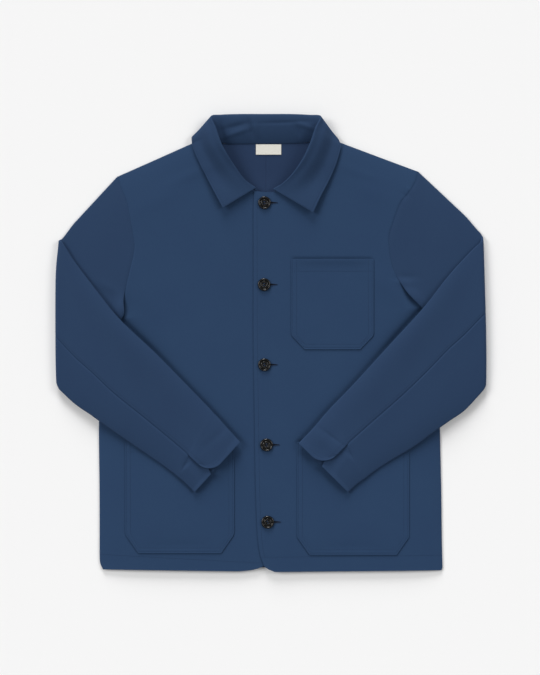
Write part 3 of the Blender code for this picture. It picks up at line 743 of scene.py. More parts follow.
# ---------------------------------------------------------------- body
@dataclass(frozen=True)
class ArmpitCrease:
    """Where a sleeve's fullness overhangs the body beside the armpit.

    Attributes:
        x, y: Middle of the crease.
        angle: Its direction in degrees.
        length: Its half length.
    """

    x: float
    y: float
    angle: float
    length: float
    drop: float = 6.0
    drop_reach: float = 9.0
    rise: float = 4.4
    rise_reach: float = 12.0
    overhang: float = 2.6

    def share(self, x: Array, y: Array) -> tuple[Array, Array]:
        """bell(run / length) at each place, and the distance across from the crease."""
        turn = math.radians(self.angle)
        run = (x - self.x) * math.cos(turn) + (y - self.y) * math.sin(turn)
        across = (y - self.y) * math.cos(turn) - (x - self.x) * math.sin(turn)
        return bell(run, self.length), np.abs(across)

    def lower_body(self, x: Array, y: Array) -> Array:
        """How far the front sinks: drop * bell(run / length) * exp(-across / reach)."""
        along_it, across = self.share(x, y)
        return self.drop * along_it * np.exp(-across / self.drop_reach)

    def raise_sleeve(self, x: Array, y: Array) -> Array:
        """How far the sleeve stands up: rise * bell(run / length) * bell(across / reach)."""
        along_it, across = self.share(x, y)
        return self.rise * along_it * bell(across, self.rise_reach)


CREASES = {Side.LEFT: ArmpitCrease(241, 77, -48, 24), Side.RIGHT: ArmpitCrease(-254, 56, 86, 20)}


@dataclass
class Body:
    """The two fronts and the two halves of the back."""

    lie: Lie
    drill: bpy.types.Material
    inside: bpy.types.Material
    row_step: float = 3.0
    fine_stretches: int = 3
    fine_step: float = 1.5
    column_step: float = 4.5
    back_step: float = 8.0
    armhole_points: int = 240
    seam_dip: float = 0.7
    seam_reach: float = 1.8
    centre_gap: float = 0.03
    back_hem_y: float = -382.0
    back_hem_rise: float = 3.0

    def rails(self, side: Side, corners: tuple[str, ...]) -> tuple[Array, Array]:
        """Inner and outer rails of a front, smooth between the named corners."""
        rows = FRONT_ROWS[side]
        table = np.array([row[1:] for row in rows], float)
        names = [row.place for row in rows]
        places = table_places(table, self.row_step, self.fine_stretches, self.fine_step)
        turns = tuple(names.index(name) for name in corners)
        return (rail(table[:, :2], places, turns if "neck corner" in corners else ()),
                rail(table[:, 2:], places, (names.index("armpit"),)))

    def armhole(self, side: Side) -> Array:
        """The body's armhole edge, from the shoulder down to the armpit."""
        rows = FRONT_ROWS[side]
        names = [row.place for row in rows]
        first = names.index("armpit")
        table = np.array([row[3:] for row in rows], float)
        places = np.linspace(first, len(rows) - 1, self.armhole_points)
        return rail(table, places, (first,))[::-1]

    def panel(self, inner: Array, outer: Array, height: Callable[[Array, Array], Array],
              step: float, dip: float) -> Surface:
        """Straight rows between two rails, at a height, with a dip along the outer seam.

        Each point is inner + (outer - inner) * distance / width, and its height is that of
        the ply less dip * bell(distance to the outer rail).
        """
        width = np.hypot(*(outer - inner).T)
        across = stations(np.zeros(len(width)), width, NEAR_EDGE, step)
        part = (across / width[:, None])[..., None]
        plan = inner[:, None] * (1 - part) + outer[:, None] * part
        x, y = plan[..., 0], plan[..., 1]
        seam = dip * bell(width[:, None] - across, self.seam_reach)
        return Surface(np.stack([x, y, height(x, y) - seam], axis=-1), plan)

    def front(self, side: Side) -> Surface:
        """A front between its button edge and neckline, and its side seam and armhole.

        It sinks beside the armpit crease, under the pocket mouths and along the sleeve that
        lies on it, but never into the ply below.
        """
        inner, outer = self.rails(side, ("neck corner",))
        crease = CREASES[side]

        def height(x: Array, y: Array) -> Array:
            """The front's height, less the deepest of its hollows."""
            hollow = np.maximum(crease.lower_body(x, y), self.lie.pressed(side, x, y))
            z = self.lie.front(side, x, y) - hollow - self.lie.under_mouths(side, x, y)
            return np.maximum(z, self.lie.lower(x, y) + self.lie.stack)

        return self.panel(inner, outer, height, self.column_step, self.seam_dip)

    def back(self, side: Side) -> Surface:
        """Half the back, from the centre back seam to the side seam and armhole."""
        rows = FRONT_ROWS[side]
        outer = np.array([(row.outer_x, row.outer_y) for row in rows], float)
        outer[:, 1] = np.maximum(outer[:, 1], self.back_hem_y + self.back_hem_rise)
        neck_row = [row.place for row in rows].index("neck 1")
        neck = np.array(BACK_NECK[side], float)
        seam_y = np.interp(outer[:neck_row + 1, 1], outer[[0, neck_row], 1],
                           [self.back_hem_y, neck[0, 1]])
        seam_x = np.full(neck_row + 1, self.lie.centre_x + side.value * self.centre_gap)
        inner = np.vstack([np.column_stack([seam_x, seam_y]), neck[1:]])
        places = table_places(np.hstack([inner, outer]), self.back_step, 0, self.back_step)
        armpit = [row.place for row in rows].index("armpit")
        return self.panel(rail(inner, places, (neck_row,)), rail(outer, places, (armpit,)),
                          self.lie.lower, self.back_step, 0.0)

    def build(self) -> dict[str, Surface]:
        made = {}
        for side in Side:
            name = side.name.lower()
            made[f"back_{name}"] = self.back(side)
            made[f"front_{name}"] = self.front(side)
            for part, material, slot in (("back", self.inside, Slot.INSIDE),
                                         ("front", self.drill, Slot.DRILL)):
                node = f"{part}_{name}"
                piece = made[node].build(f"cloth_{node}", material, self.lie.cloth)
                declare_sheet(node)
        return made


# ---------------------------------------------------------------- sleeves
@dataclass
class Sleeve:
    """A two-piece sleeve, flat, turned back over a fold so that its cuff lies on the front.

    Its length is one parameter, the stage: 0 at the armhole to 1 at the fold, 1 to 2 round
    the fold, and 2 to 3 down the forearm to the cuff.  Pairs are stages, or shares of the
    forearm, where something begins and where it is complete.
    """

    side: Side
    fold_x: float
    out_crown_y: float
    out_under_y: float
    back_seam: float
    fold_radius: float = 2.0
    seam_set: float = 4.0
    front_seam_gap: float = 1.4
    back_seam_gap: float = 0.4
    armhole_gap: float = 0.1
    corner_round: float = 6.0
    corner_reach: float = 40.0
    corner_fades: tuple[float, float] = (2.0, 2.12)
    lies_flat: tuple[float, float] = (0.45, 1.0)
    fold_settles: float = 0.35
    sag: float = 1.2
    sag_starts: tuple[float, float] = (0.08, 0.3)
    sag_ends: tuple[float, float] = (0.5, 0.68)
    vent_underlap: float = 14.0
    vent_drop: float = 1.7
    vent_ease: tuple[float, float] = (14.0, 34.0)
    flap_radius: float = 30.0
    flap_trim: float = 1.0
    flap_trim_from: float = 2.86
    flap_lift: float = 1.6
    cuff_curl: float = 1.2
    cuff_curl_from: float = 2.965
    puff: float = 4.0
    puff_reach: float = 22.0
    crown_lift: float = 2.8
    crown_reach: float = 52.0
    crown_hump: float = 2.6
    hump_place: float = 0.36
    hump_reach: float = 0.17
    seam_dip: float = 0.5
    seam_reach: float = 1.8
    upper_arm: float = 90.0
    back_seam_dip: float = 0.8
    back_seam_reach: float = 1.6
    front_step: float = 6.0
    back_step: float = 4.0

    def stages(self) -> Array:
        """Stations down the sleeve, closer together at the seam, the fold and the cuff."""
        out = np.concatenate([[0, 0.005, 0.012, 0.022, 0.04], np.linspace(0.07, 0.96, 24)])
        turn = np.linspace(1, 2, 15)
        down = np.concatenate([np.linspace(2.03, 2.96, 78), 3 - np.array(
            [0.034, 0.028, 0.022, 0.017, 0.012, 0.008, 0.005, 0.0025, 0])])
        return np.concatenate([out, turn, down])

    def forearm(self, stage: Array) -> tuple[Array, Array, Array]:
        """Crown edge, under edge and vent opening at stations past the fold."""
        table = np.array(SLEEVE_ROWS[self.side], float)
        places = np.clip(stage - 2, 0, 1) * (len(table) - 1)
        edges = rail(table[:, :4], places)
        vent = np.interp(places, np.arange(len(table)), table[:, 4])
        return edges[:, :2], edges[:, 2:], vent

    def plan(self, stage: Array, part: Array, armhole: Array) -> Array:
        """Places in plan: part runs from 0 at the crown edge to 1 at the under edge.

        Out, a row is the blend of the armhole's curve and the fold's line; past the fold it
        is straight between the two edges.
        """
        out = np.clip(stage, 0, 1)[:, None, None]
        back = np.clip(stage - 1, 0, 1)[:, None, None]
        share = part[..., None]
        ends = np.array([[self.fold_x, self.out_crown_y], [self.fold_x, self.out_under_y]])
        fold_out = ends[0] * (1 - share) + ends[1] * share
        crown, under, _ = self.forearm(stage)
        down = crown[:, None] * (1 - share) + under[:, None] * share
        going = along(armhole, part) * (1 - out) + fold_out * out
        return going * (1 - back) + down * back

    def place(self, lie: Lie, stage: Array, across: Array, face: Array, armhole: Array
              ) -> tuple[Array, Array]:
        """Points of the sleeve's tube.

        Args:
            lie: The heights of the plies.
            stage: Stations down the sleeve (rows).
            across: Distance from the crown edge (rows, columns).
            face: 0 on the front ply and 1 on the back ply (rows, columns).
            armhole: The sleeve's first row.

        Returns:
            Points (rows, columns, 3), and each row's width.
        """
        width = self.width(stage, armhole)
        plan = self.plan(stage, np.clip(across / width[:, None], 0, 1), armhole)
        x, y = plan[..., 0], plan[..., 1]
        spread = np.maximum(np.minimum(across, width[:, None] - across), 0)
        thick = lie.sleeve_edge + (lie.sleeve_puff - lie.sleeve_edge) * (
            1 - np.exp(-spread / lie.puff_reach))
        row = stage[:, None]
        flat = ease(*self.lies_flat, row)
        top = lie.upper(x, y) * (1 - flat) + (lie.lower_z + thick) * flat
        top = top + CREASES[self.side].raise_sleeve(x, y)
        out_z = top + face * (lie.lower(x, y) - top)
        radius = self.fold_radius + face * thick
        angle = np.pi * np.clip(row - 1, 0, 1)
        inner = lie.lower_z + thick
        turn_z = inner + self.fold_radius - radius * np.cos(angle)
        down = np.clip(row - 2, 0, 1)
        settled = ease(0, self.fold_settles, down)
        level = lie.lower_z + lie.puff + 2 * self.fold_radius
        sag = self.sag * ease(*self.sag_starts, down) * (1 - ease(*self.sag_ends, down))
        back_z = (inner + 2 * self.fold_radius) * (1 - settled) + level * settled - sag
        lift = self.crown_lift * settled + self.crown_hump * bell(down - self.hump_place,
                                                                  self.hump_reach)
        back_z = back_z + lift * bell(across, self.crown_reach)
        fuller = thick + self.puff * settled * (1 - np.exp(-spread / self.puff_reach))
        back_z = back_z + face * fuller
        z = np.where(row < 1, out_z, np.where(row <= 2, turn_z, back_z))
        turning = (row >= 1) & (row <= 2)
        x = x + np.where(turning, self.side.value * radius * np.sin(angle), 0.0)
        lean = self.corner_round * bell(y - self.out_crown_y, self.corner_reach)
        lean = lean * ease(0.7, 1.0, row)
        x = x - self.side.value * lean * (1 - ease(*self.corner_fades, row))
        dip = self.seam_dip * bell(row * self.upper_arm, self.seam_reach)
        return np.stack([x, y, z - dip * (1 - 2 * face)], axis=-1), width

    def width(self, stage: Array, armhole: Array) -> Array:
        """Length of each row from the crown edge to the under edge."""
        steps = np.broadcast_to(np.linspace(0, 1, 60), (len(stage), 60))
        line = self.plan(stage, steps, armhole)
        return np.hypot(*np.moveaxis(np.diff(line, axis=1), -1, 0)).sum(axis=1)

    def ring(self, lie: Lie, count: int = 11) -> tuple[Array, Array]:
        """The half turn round an edge: distance in from the edge, and face, front to back."""
        angle = np.linspace(0, math.pi, count)
        return lie.sleeve_edge / 2 * (1 - np.sin(angle)), (1 - np.cos(angle)) / 2

    def groove(self, stage: Array, from_seam: Array, vent: Array) -> Array:
        """Depth of the back seam's groove: dip * bell(from_seam / reach), none at the vent.

        Out to the fold the back ply is underneath, so the groove points up there.
        """
        depth = self.back_seam_dip * bell(from_seam, self.back_seam_reach)
        return depth * (1 - vent[:, None]) * np.where(stage < 1.5, -1, 1)[:, None]

    def start(self, body: Body) -> Array:
        """The sleeve's first row, just outside the body's armhole."""
        line = body.armhole(self.side) + (self.side.value * self.armhole_gap, 0)
        crease = CREASES[self.side]
        near, _ = crease.share(line[:, 0], line[:, 1])
        line[:, 0] -= self.side.value * crease.overhang * near
        line[-1, 0] += self.side.value * self.armhole_gap
        return line

    def cuff(self, points: Array, stage: Array) -> Array:
        """Curl the last few millimetres up a little, so that the cuff's edge stands."""
        last = ease(self.cuff_curl_from, 3.0, stage)[:, None]
        points[..., 2] += self.cuff_curl * last
        return points

    def cut_of(self, points: Array, middle: int) -> Array:
        """Flat cut of a bent piece: lengths along rows and along its middle column."""
        steps = np.linalg.norm(np.diff(points, axis=1), axis=-1)
        across = np.hstack([np.zeros((len(points), 1)), np.cumsum(steps, axis=1)])
        across -= across[:, middle:middle + 1]
        down = np.concatenate([[0.0], np.cumsum(np.linalg.norm(
            np.diff(points[:, middle], axis=0), axis=-1))])
        return np.stack([across, np.broadcast_to(-down[:, None], across.shape)], axis=-1)

    def top(self, lie: Lie, body: Body) -> Surface:
        """Front seam, over the crown edge, to the back seam, with the cuff flap's round."""
        stage, armhole = self.stages(), self.start(body)
        width = self.width(stage, armhole)
        edge = lie.sleeve_edge / 2
        seam = self.back_seam * width
        front = stations(np.full(len(stage), edge), width - edge - self.seam_set,
                         NEAR_EDGE[[0, 3, 6]], self.front_step)[:, ::-1]
        turn, turn_face = self.ring(lie)
        back = stations(np.full(len(stage), edge), seam, NEAR_EDGE, self.back_step)
        rows = len(stage)
        across = np.hstack([front[:, :-1], np.broadcast_to(turn, (rows, len(turn))), back[:, 1:]])
        face = np.concatenate([np.zeros(front.shape[1] - 1), turn_face,
                               np.ones(back.shape[1] - 1)])[None, :]
        face = np.broadcast_to(face, across.shape)
        points, _ = self.place(lie, stage, across, face, armhole)
        crown, _, vent = self.forearm(stage)
        on_back = face == 1
        near_seam = ease(0, self.flap_radius, across - seam[:, None] + self.flap_radius) * on_back
        points[..., 2] += self.flap_lift * vent[:, None] * near_seam
        points[..., 2] -= self.groove(stage, across - seam[:, None], vent) * on_back
        down = crown[-1] - crown[-12]
        down = down / np.hypot(*down)
        into = np.clip(across - (seam[:, None] - self.flap_radius), 0, self.flap_radius) * on_back
        trim = self.flap_radius - np.sqrt(np.maximum(self.flap_radius**2 - into**2, 0))
        last = ease(self.flap_trim_from, 3.0, stage)[:, None]
        points[..., :2] -= (self.flap_trim * trim * last)[..., None] * down
        points[..., 2] += lie.folds(points[..., 0], points[..., 1], CUFF_FOLDS) * (
            on_back & (stage > 2)[:, None])
        middle = front.shape[1] - 1 + len(turn) // 2
        return Surface(self.cuff(points, stage), self.cut_of(points, middle))

    def under(self, lie: Lie, body: Body) -> Surface:
        """Back seam, round the under edge, to the front seam, with the vent's underlap."""
        stage, armhole = self.stages(), self.start(body)
        width = self.width(stage, armhole)
        edge = lie.sleeve_edge / 2
        _, _, vent = self.forearm(stage)
        seam = self.back_seam * width + self.back_seam_gap
        seam = seam - self.vent_underlap * np.maximum(0, 2 * vent - 1)
        back = stations(seam, width - edge, NEAR_EDGE, self.back_step)
        turn, turn_face = self.ring(lie)
        rows = len(stage)
        stub = (width - edge - self.seam_set + self.front_seam_gap)[:, None]
        ring = width[:, None] - turn[::-1]
        across = np.hstack([back[:, :-1], ring, stub])
        face = np.concatenate([np.ones(back.shape[1] - 1), turn_face[::-1], [0.0]])[None, :]
        face = np.broadcast_to(face, across.shape)
        points, _ = self.place(lie, stage, across, face, armhole)
        near = 1 - ease(*self.vent_ease, across - seam[:, None])
        on_back = face == 1
        points[..., 2] -= self.vent_drop * np.minimum(1, 2 * vent)[:, None] * near * on_back
        points[..., 2] -= self.groove(stage, across - seam[:, None], vent) * on_back
        return Surface(self.cuff(points, stage), self.cut_of(points, back.shape[1] - 1))

    def build(self, lie: Lie, body: Body, drill: bpy.types.Material) -> dict[str, Surface]:
        name = self.side.name.lower()
        made = {f"top_sleeve_{name}": self.top(lie, body),
                f"under_sleeve_{name}": self.under(lie, body)}
        for node, surface in made.items():
            piece = surface.build(f"cloth_{node}", drill, lie.cloth)
            declare_sheet(node)
        return made


SLEEVES = {
    Side.LEFT: Sleeve(Side.LEFT, 360.1, 187, -62, 0.50, corner_round=5.0, corner_reach=160.0),
    Side.RIGHT: Sleeve(Side.RIGHT, -360.1, 176, -52, 0.67, corner_round=4.0),
}


# ---------------------------------------------------------------- collar
NEAR_FREE_EDGE = np.array([0, 0.010, 0.020, 0.032, 0.046, 0.062, 0.080, 0.10, 0.13, 0.17])


@dataclass
class Collar:
    """The turned-down collar: from the neck seam up the stand, over the roll, down the fall."""

    lie: Lie
    cloth: float = 2.2
    sections: int = 280
    stand_points: int = 26
    neck_rise: float = 0.2
    back_rise: float = 0.5
    edge_rise: float = 1.2
    point_lift: float = 5.0
    point_reach: float = 1.8
    edge_ground: float = 0.1
    ground: float = 0.05
    stand_lean: float = 0.35
    roll_fullness: float = 1.25
    stand_fullness: float = 0.8
    swell: float = 1.5
    swell_place: float = 0.40
    swell_reach: float = 0.13
    trough: float = 1.6
    trough_place: float = 0.68
    trough_reach: float = 0.12
    wave_from: float = 2.5

    def surface(self) -> Surface:
        """Each section is two cubic Hermite curves that meet at the roll line."""
        places = np.linspace(0, len(COLLAR_ROWS) - 1, self.sections)
        table = rail(np.array(COLLAR_ROWS, float), places)
        neck, roll, edge = table[:, 0:2], table[:, 2:5], table[:, 5:7]
        leaf, tilt = table[:, 7], np.radians(table[:, 8])
        half = self.cloth / 2
        neck_z = (self.lie.upper(*neck.T) * leaf
                  + (self.lie.lower(*neck.T) + self.back_rise) * (1 - leaf) + self.neck_rise)
        rest = self.lie.upper(*edge.T) + self.lie.cloth / 2 + self.lie.seam_gap + half
        end_share = np.minimum(places, places[::-1])
        lift = self.edge_rise + self.point_lift * bell(end_share, self.point_reach)
        edge_z = (rest + lift) * leaf + (half + self.edge_ground) * (1 - leaf)
        start = np.column_stack([neck, neck_z])
        end = np.column_stack([edge, edge_z])
        outward = (end - roll) * (1, 1, 0)
        reach = np.linalg.norm(outward, axis=1, keepdims=True)
        outward = outward / reach
        way = outward * np.cos(tilt)[:, None] - np.outer(np.sin(tilt), (0, 0, 1))
        chord = roll - start
        up = np.outer(np.linalg.norm(chord, axis=1) * self.stand_lean, (0, 0, 1))
        pull = way * (self.roll_fullness * (roll[:, 2] - edge_z))[:, None]
        stand = self.curve(start, roll, chord + up, pull * self.stand_fullness,
                           np.linspace(0, 1, self.stand_points))
        down = np.concatenate([np.linspace(0, 0.80, 19), 1 - NEAR_FREE_EDGE[::-1]])
        fall = self.curve(roll, end, pull, outward * reach, down)
        stand[..., 2] += self.lie.folds(stand[..., 0], stand[..., 1], STAND_FOLDS)
        wave = (self.swell * bell(down - self.swell_place, self.swell_reach)
                - self.trough * bell(down - self.trough_place, self.trough_reach))
        fall[..., 2] += wave * (leaf * ease(0.0, self.wave_from, end_share))[:, None]
        points = np.concatenate([stand, fall[:, 1:]], axis=1)
        return Surface(self.clear(points, leaf), self.cut_of(points))

    def curve(self, a: Array, b: Array, leave: Array, arrive: Array, part: Array) -> Array:
        """Cubic Hermite curves (sections, part) from a to b with the given end slopes."""
        t = part[None, :, None]
        a, b, leave, arrive = (v[:, None] for v in (a, b, leave, arrive))
        return ((2 * t**3 - 3 * t**2 + 1) * a + (t**3 - 2 * t**2 + t) * leave
                + (3 * t**2 - 2 * t**3) * b + (t**3 - t**2) * arrive)

    def clear(self, points: Array, leaf: Array) -> Array:
        """Keep the fall above the fronts, and all of the collar above the surface."""
        x, y, z = np.moveaxis(points, -1, 0)
        fall = np.arange(points.shape[1])[None, :] >= self.stand_points
        floor = self.lie.upper(x, y) + self.lie.cloth / 2 + self.lie.seam_gap + self.cloth / 2
        floor = np.where(fall & (leaf[:, None] > 0.99), floor, self.cloth / 2 + self.ground)
        return np.stack([x, y, np.maximum(z, floor)], axis=-1)

    def cut_of(self, points: Array) -> Array:
        """Flat cut: length along the roll line, and length down each section."""
        roll = points[:, self.stand_points - 1]
        along_roll = np.concatenate([[0.0], np.cumsum(np.linalg.norm(np.diff(roll, axis=0),
                                                                    axis=1))])
        steps = np.linalg.norm(np.diff(points, axis=1), axis=-1)
        down = np.hstack([np.zeros((len(points), 1)), np.cumsum(steps, axis=1)])
        return np.stack([np.broadcast_to(along_roll[:, None], down.shape), -down], axis=-1)

    def build(self, drill: bpy.types.Material) -> Surface:
        surface = self.surface()
        piece = surface.build("cloth_collar", drill, self.cloth)
        declare_sheet("collar")
        return surface


# ---------------------------------------------------------------- patch pockets
@dataclass
class PatchPocket:
    """A patch pocket: the front's own surface under it, moved out, with cut lower corners."""

    name: str
    side: Side
    left: float
    right: float
    top: float
    cut_y: float
    bottom: float
    corner: float
    slack: float
    trough: float
    hem: float = 20.0
    reach: float = 60.0
    groove: float = 0.28
    gape: float = 1.0
    gape_reach: float = 9.0
    trough_y: float = 13.0
    trough_reach: float = 7.0
    trough_share: float = 0.28
    step: float = 4.0
    seams: tuple[tuple[float, float, float], ...] = ((2.6, 0.9, 1.0), (9.0, 1.1, 0.7))

    def surface(self, lie: Lie) -> Surface:
        """Rows between the two sides, with stitched grooves along the sewn edges.

        The height is the front's, one ply up, with slack in the middle and a gape at the
        mouth, less a groove along each seam: groove * share * bell((distance to the sewn
        edge - inset) / reach), where a seam's row is inset, reach, share.
        """
        edge = np.zeros(1)
        depth = stations(edge, edge + self.top - self.bottom, NEAR_EDGE, self.step)[0]
        y_rows = self.top - depth
        cut = np.interp(y_rows, [self.bottom, self.cut_y], [self.corner, 0.0])
        x = stations(self.left + cut, self.right - cut, NEAR_EDGE, self.step)
        y = np.broadcast_to(y_rows[:, None], x.shape)
        slant = math.hypot(self.corner, self.cut_y - self.bottom)
        to_corner = [((x - self.left) * (self.cut_y - self.bottom)
                      + (y - self.cut_y) * self.corner) / slant,
                     ((self.right - x) * (self.cut_y - self.bottom)
                      + (y - self.cut_y) * self.corner) / slant]
        sewn = np.minimum.reduce([x - self.left, self.right - x, y - self.bottom, *to_corner])
        slack = self.slack * ease(0, self.reach, sewn)
        middle = bell(x - (self.left + self.right) / 2,
                      self.trough_share * (self.right - self.left))
        level = 1 - np.abs(2 * (x - self.left) / (self.right - self.left) - 1) ** 4
        mouth = self.gape * level * bell(self.top - y, self.gape_reach)
        trough = self.trough * middle * bell(y - self.bottom - self.trough_y, self.trough_reach)
        z = lie.front(self.side, x, y) + lie.stack + slack + mouth - trough
        z = z - self.groove * sum(share * bell(sewn - inset, reach)
                                  for inset, reach, share in self.seams)
        return Surface(np.stack([x, y, z], axis=-1), np.stack([x, y], axis=-1))

    def build(self, lie: Lie, drill: bpy.types.Material) -> Surface:
        surface = self.surface(lie)
        piece = surface.build(f"cloth_{self.name}", drill, lie.cloth)
        declare_sheet(self.name)
        return surface


POCKETS = [
    PatchPocket("chest_pocket", Side.LEFT, 34, 174, 142, 13, -11, 23, 0.5, 0.0, gape=1.5),
    PatchPocket("hip_pocket_left", Side.LEFT, 44, 234, -168, -330, -360, 21, 0.8, 0.5),
    PatchPocket("hip_pocket_right", Side.RIGHT, -248, -63, -165, -325, -357, 22, 0.8, 0.5),
]


# ---------------------------------------------------------------- stitches
@dataclass
class Lockstitch:
    """Machine stitches: short threads that rise out of the cloth and go back into it."""

    thread: bpy.types.Material
    length: float = 2.8
    gap: float = 0.6
    radius: float = 0.24
    rise: float = 0.2
    sink: float = 0.12
    rings: int = 5
    sides: int = 5

    def points(self, path: Array, normals: Array) -> Array:
        """Points of all stitches on a path: (stitches, rings, sides, 3).

        A ring at u from -1 to 1 has radius * sqrt(1 - 0.9 u^2), and its centre stands
        rise * (1 - u^2) - sink above the cloth.
        """
        lengths = np.concatenate([[0.0], np.cumsum(np.linalg.norm(np.diff(path, axis=0),
                                                                  axis=1))])
        starts = np.arange(0.0, lengths[-1] - self.length, self.length + self.gap)
        u = np.linspace(-1, 1, self.rings)
        where = starts[:, None] + (u + 1) / 2 * self.length
        centre = np.stack([np.interp(where, lengths, c) for c in path.T], axis=-1)
        up = np.stack([np.interp(where, lengths, c) for c in normals.T], axis=-1)
        ahead = centre[:, -1:] - centre[:, :1]
        ahead = ahead / np.maximum(np.linalg.norm(ahead, axis=-1, keepdims=True), 1e-9)
        aside = np.cross(ahead, up)
        aside /= np.maximum(np.linalg.norm(aside, axis=-1, keepdims=True), 1e-9)
        centre = centre + up * (self.rise * (1 - u**2) - self.sink)[None, :, None]
        turn = np.arange(self.sides) * 2 * np.pi / self.sides
        size = (self.radius * np.sqrt(1 - 0.9 * u**2))[None, :, None, None]
        round_ = (np.cos(turn)[:, None] * aside[:, :, None]
                  + np.sin(turn)[:, None] * up[:, :, None])
        return centre[:, :, None] + size * round_

    def sew(self, name: str, lines: list[tuple[Array, Array]]) -> bpy.types.Object:
        """One object of all the stitches along some lines, each a path and its normals."""
        points = np.concatenate([self.points(path, normals) for path, normals in lines])
        count = len(points)
        faces = tube_faces(count, self.rings, self.sides).tolist()
        index = np.arange(points.size // 3).reshape(count, self.rings, self.sides)
        caps = np.concatenate([index[:, 0, ::-1], index[:, -1]]).tolist()
        LOG.info("%s: %d stitches", name, count)
        return mesh_object(name, points, faces + caps, self.thread)


@dataclass
class Topstitching:
    """Where the jacket is stitched on its outside.

    Insets are counted in columns or rows of a surface, which lie closer near its edges.
    """

    lie: Lie
    pocket_insets: tuple[float, float] = (4.1, 9.4)
    button_edge_inset: float = 8.0
    button_edge_top: float = 250.0
    button_edge_foot: float = -365.0
    hem_depth: float = 26.0
    collar_inset: int = 5
    collar_return: int = 20
    sleeve_inset: int = 8
    cuff_inset: int = 6
    cuff_columns: int = 44
    tack_place: tuple[float, float] = (160.7, -147.5)
    tack_above: float = 8.0
    tack_half: float = 3.0

    def pocket_lines(self, surface: Surface, hem_depth: float) -> list[tuple[Array, Array]]:
        """Two rows round a pocket's sewn edges, and one across its hem."""
        rows, columns = (n - 1 for n in surface.points.shape[:2])
        lift = self.lie.cloth / 2
        lines = []
        for inset in self.pocket_insets:
            lines.append(surface.path([(1, inset), (rows - inset, inset),
                                       (rows - inset, columns - inset), (1, columns - inset)],
                                      lift))
        hem = float(np.interp(hem_depth, surface.points[0, 0, 1] - surface.points[:, 0, 1],
                              np.arange(rows + 1)))
        lines.append(surface.path([(hem, 1), (hem, columns - 1)], lift))
        return lines

    def front_lines(self, surface: Surface) -> list[tuple[Array, Array]]:
        """The button edge, and the hem."""
        index = np.arange(surface.points.shape[0])
        lift = self.lie.cloth / 2
        inset = self.button_edge_inset
        top, foot = np.interp([self.button_edge_top, self.button_edge_foot],
                              surface.points[:, 0, 1], index)
        hem = float(np.interp(surface.points[0, -1, 1] + self.hem_depth,
                              surface.points[:, -1, 1], index))
        columns = surface.points.shape[1] - 1
        return [surface.path([(foot, inset), (top, inset)], lift),
                surface.path([(hem, 2), (hem, columns - 2)], lift)]

    def collar_lines(self, surface: Surface, cloth: float) -> list[tuple[Array, Array]]:
        """One row 5 mm inside the collar's edge, round both points."""
        rows, columns = (n - 1 for n in surface.points.shape[:2])
        back, line = columns - self.collar_return, columns - self.collar_inset
        return [surface.path([(1, back), (1, line), (rows - 1, line), (rows - 1, back)],
                             cloth / 2)]

    def sleeve_lines(self, top: Surface, lift: float) -> list[tuple[Array, Array]]:
        """Beside the back seam, and round the cuff."""
        rows, columns = (n - 1 for n in top.points.shape[:2])
        beside, row = columns - self.sleeve_inset, rows - self.cuff_inset
        return [top.path([(3, beside), (row + 1, beside)], lift),
                top.path([(row, columns - self.cuff_columns), (row, columns - 3)], lift)]

    def tack(self, surface: Surface) -> list[tuple[Array, Array]]:
        """A small crossed tack on the upper ply, where the back seam's stitching ends."""
        grid = surface.points
        x, y = self.tack_place
        near = np.argmin(np.hypot(grid[..., 0] - x, grid[..., 1] - y)
                         + 1e3 * (grid[..., 2] < self.tack_above))
        row, column = np.unravel_index(near, grid.shape[:2])
        middle = grid[row, column] + (0, 0, self.lie.cloth / 2)
        up = np.tile((0.0, 0.0, 1.0), (4, 1))
        steps = np.linspace(-self.tack_half, self.tack_half, 4)[:, None]
        return [(middle + steps * np.array(way), up) for way in ((1, 0.3, 0), (0.3, -1, 0))]


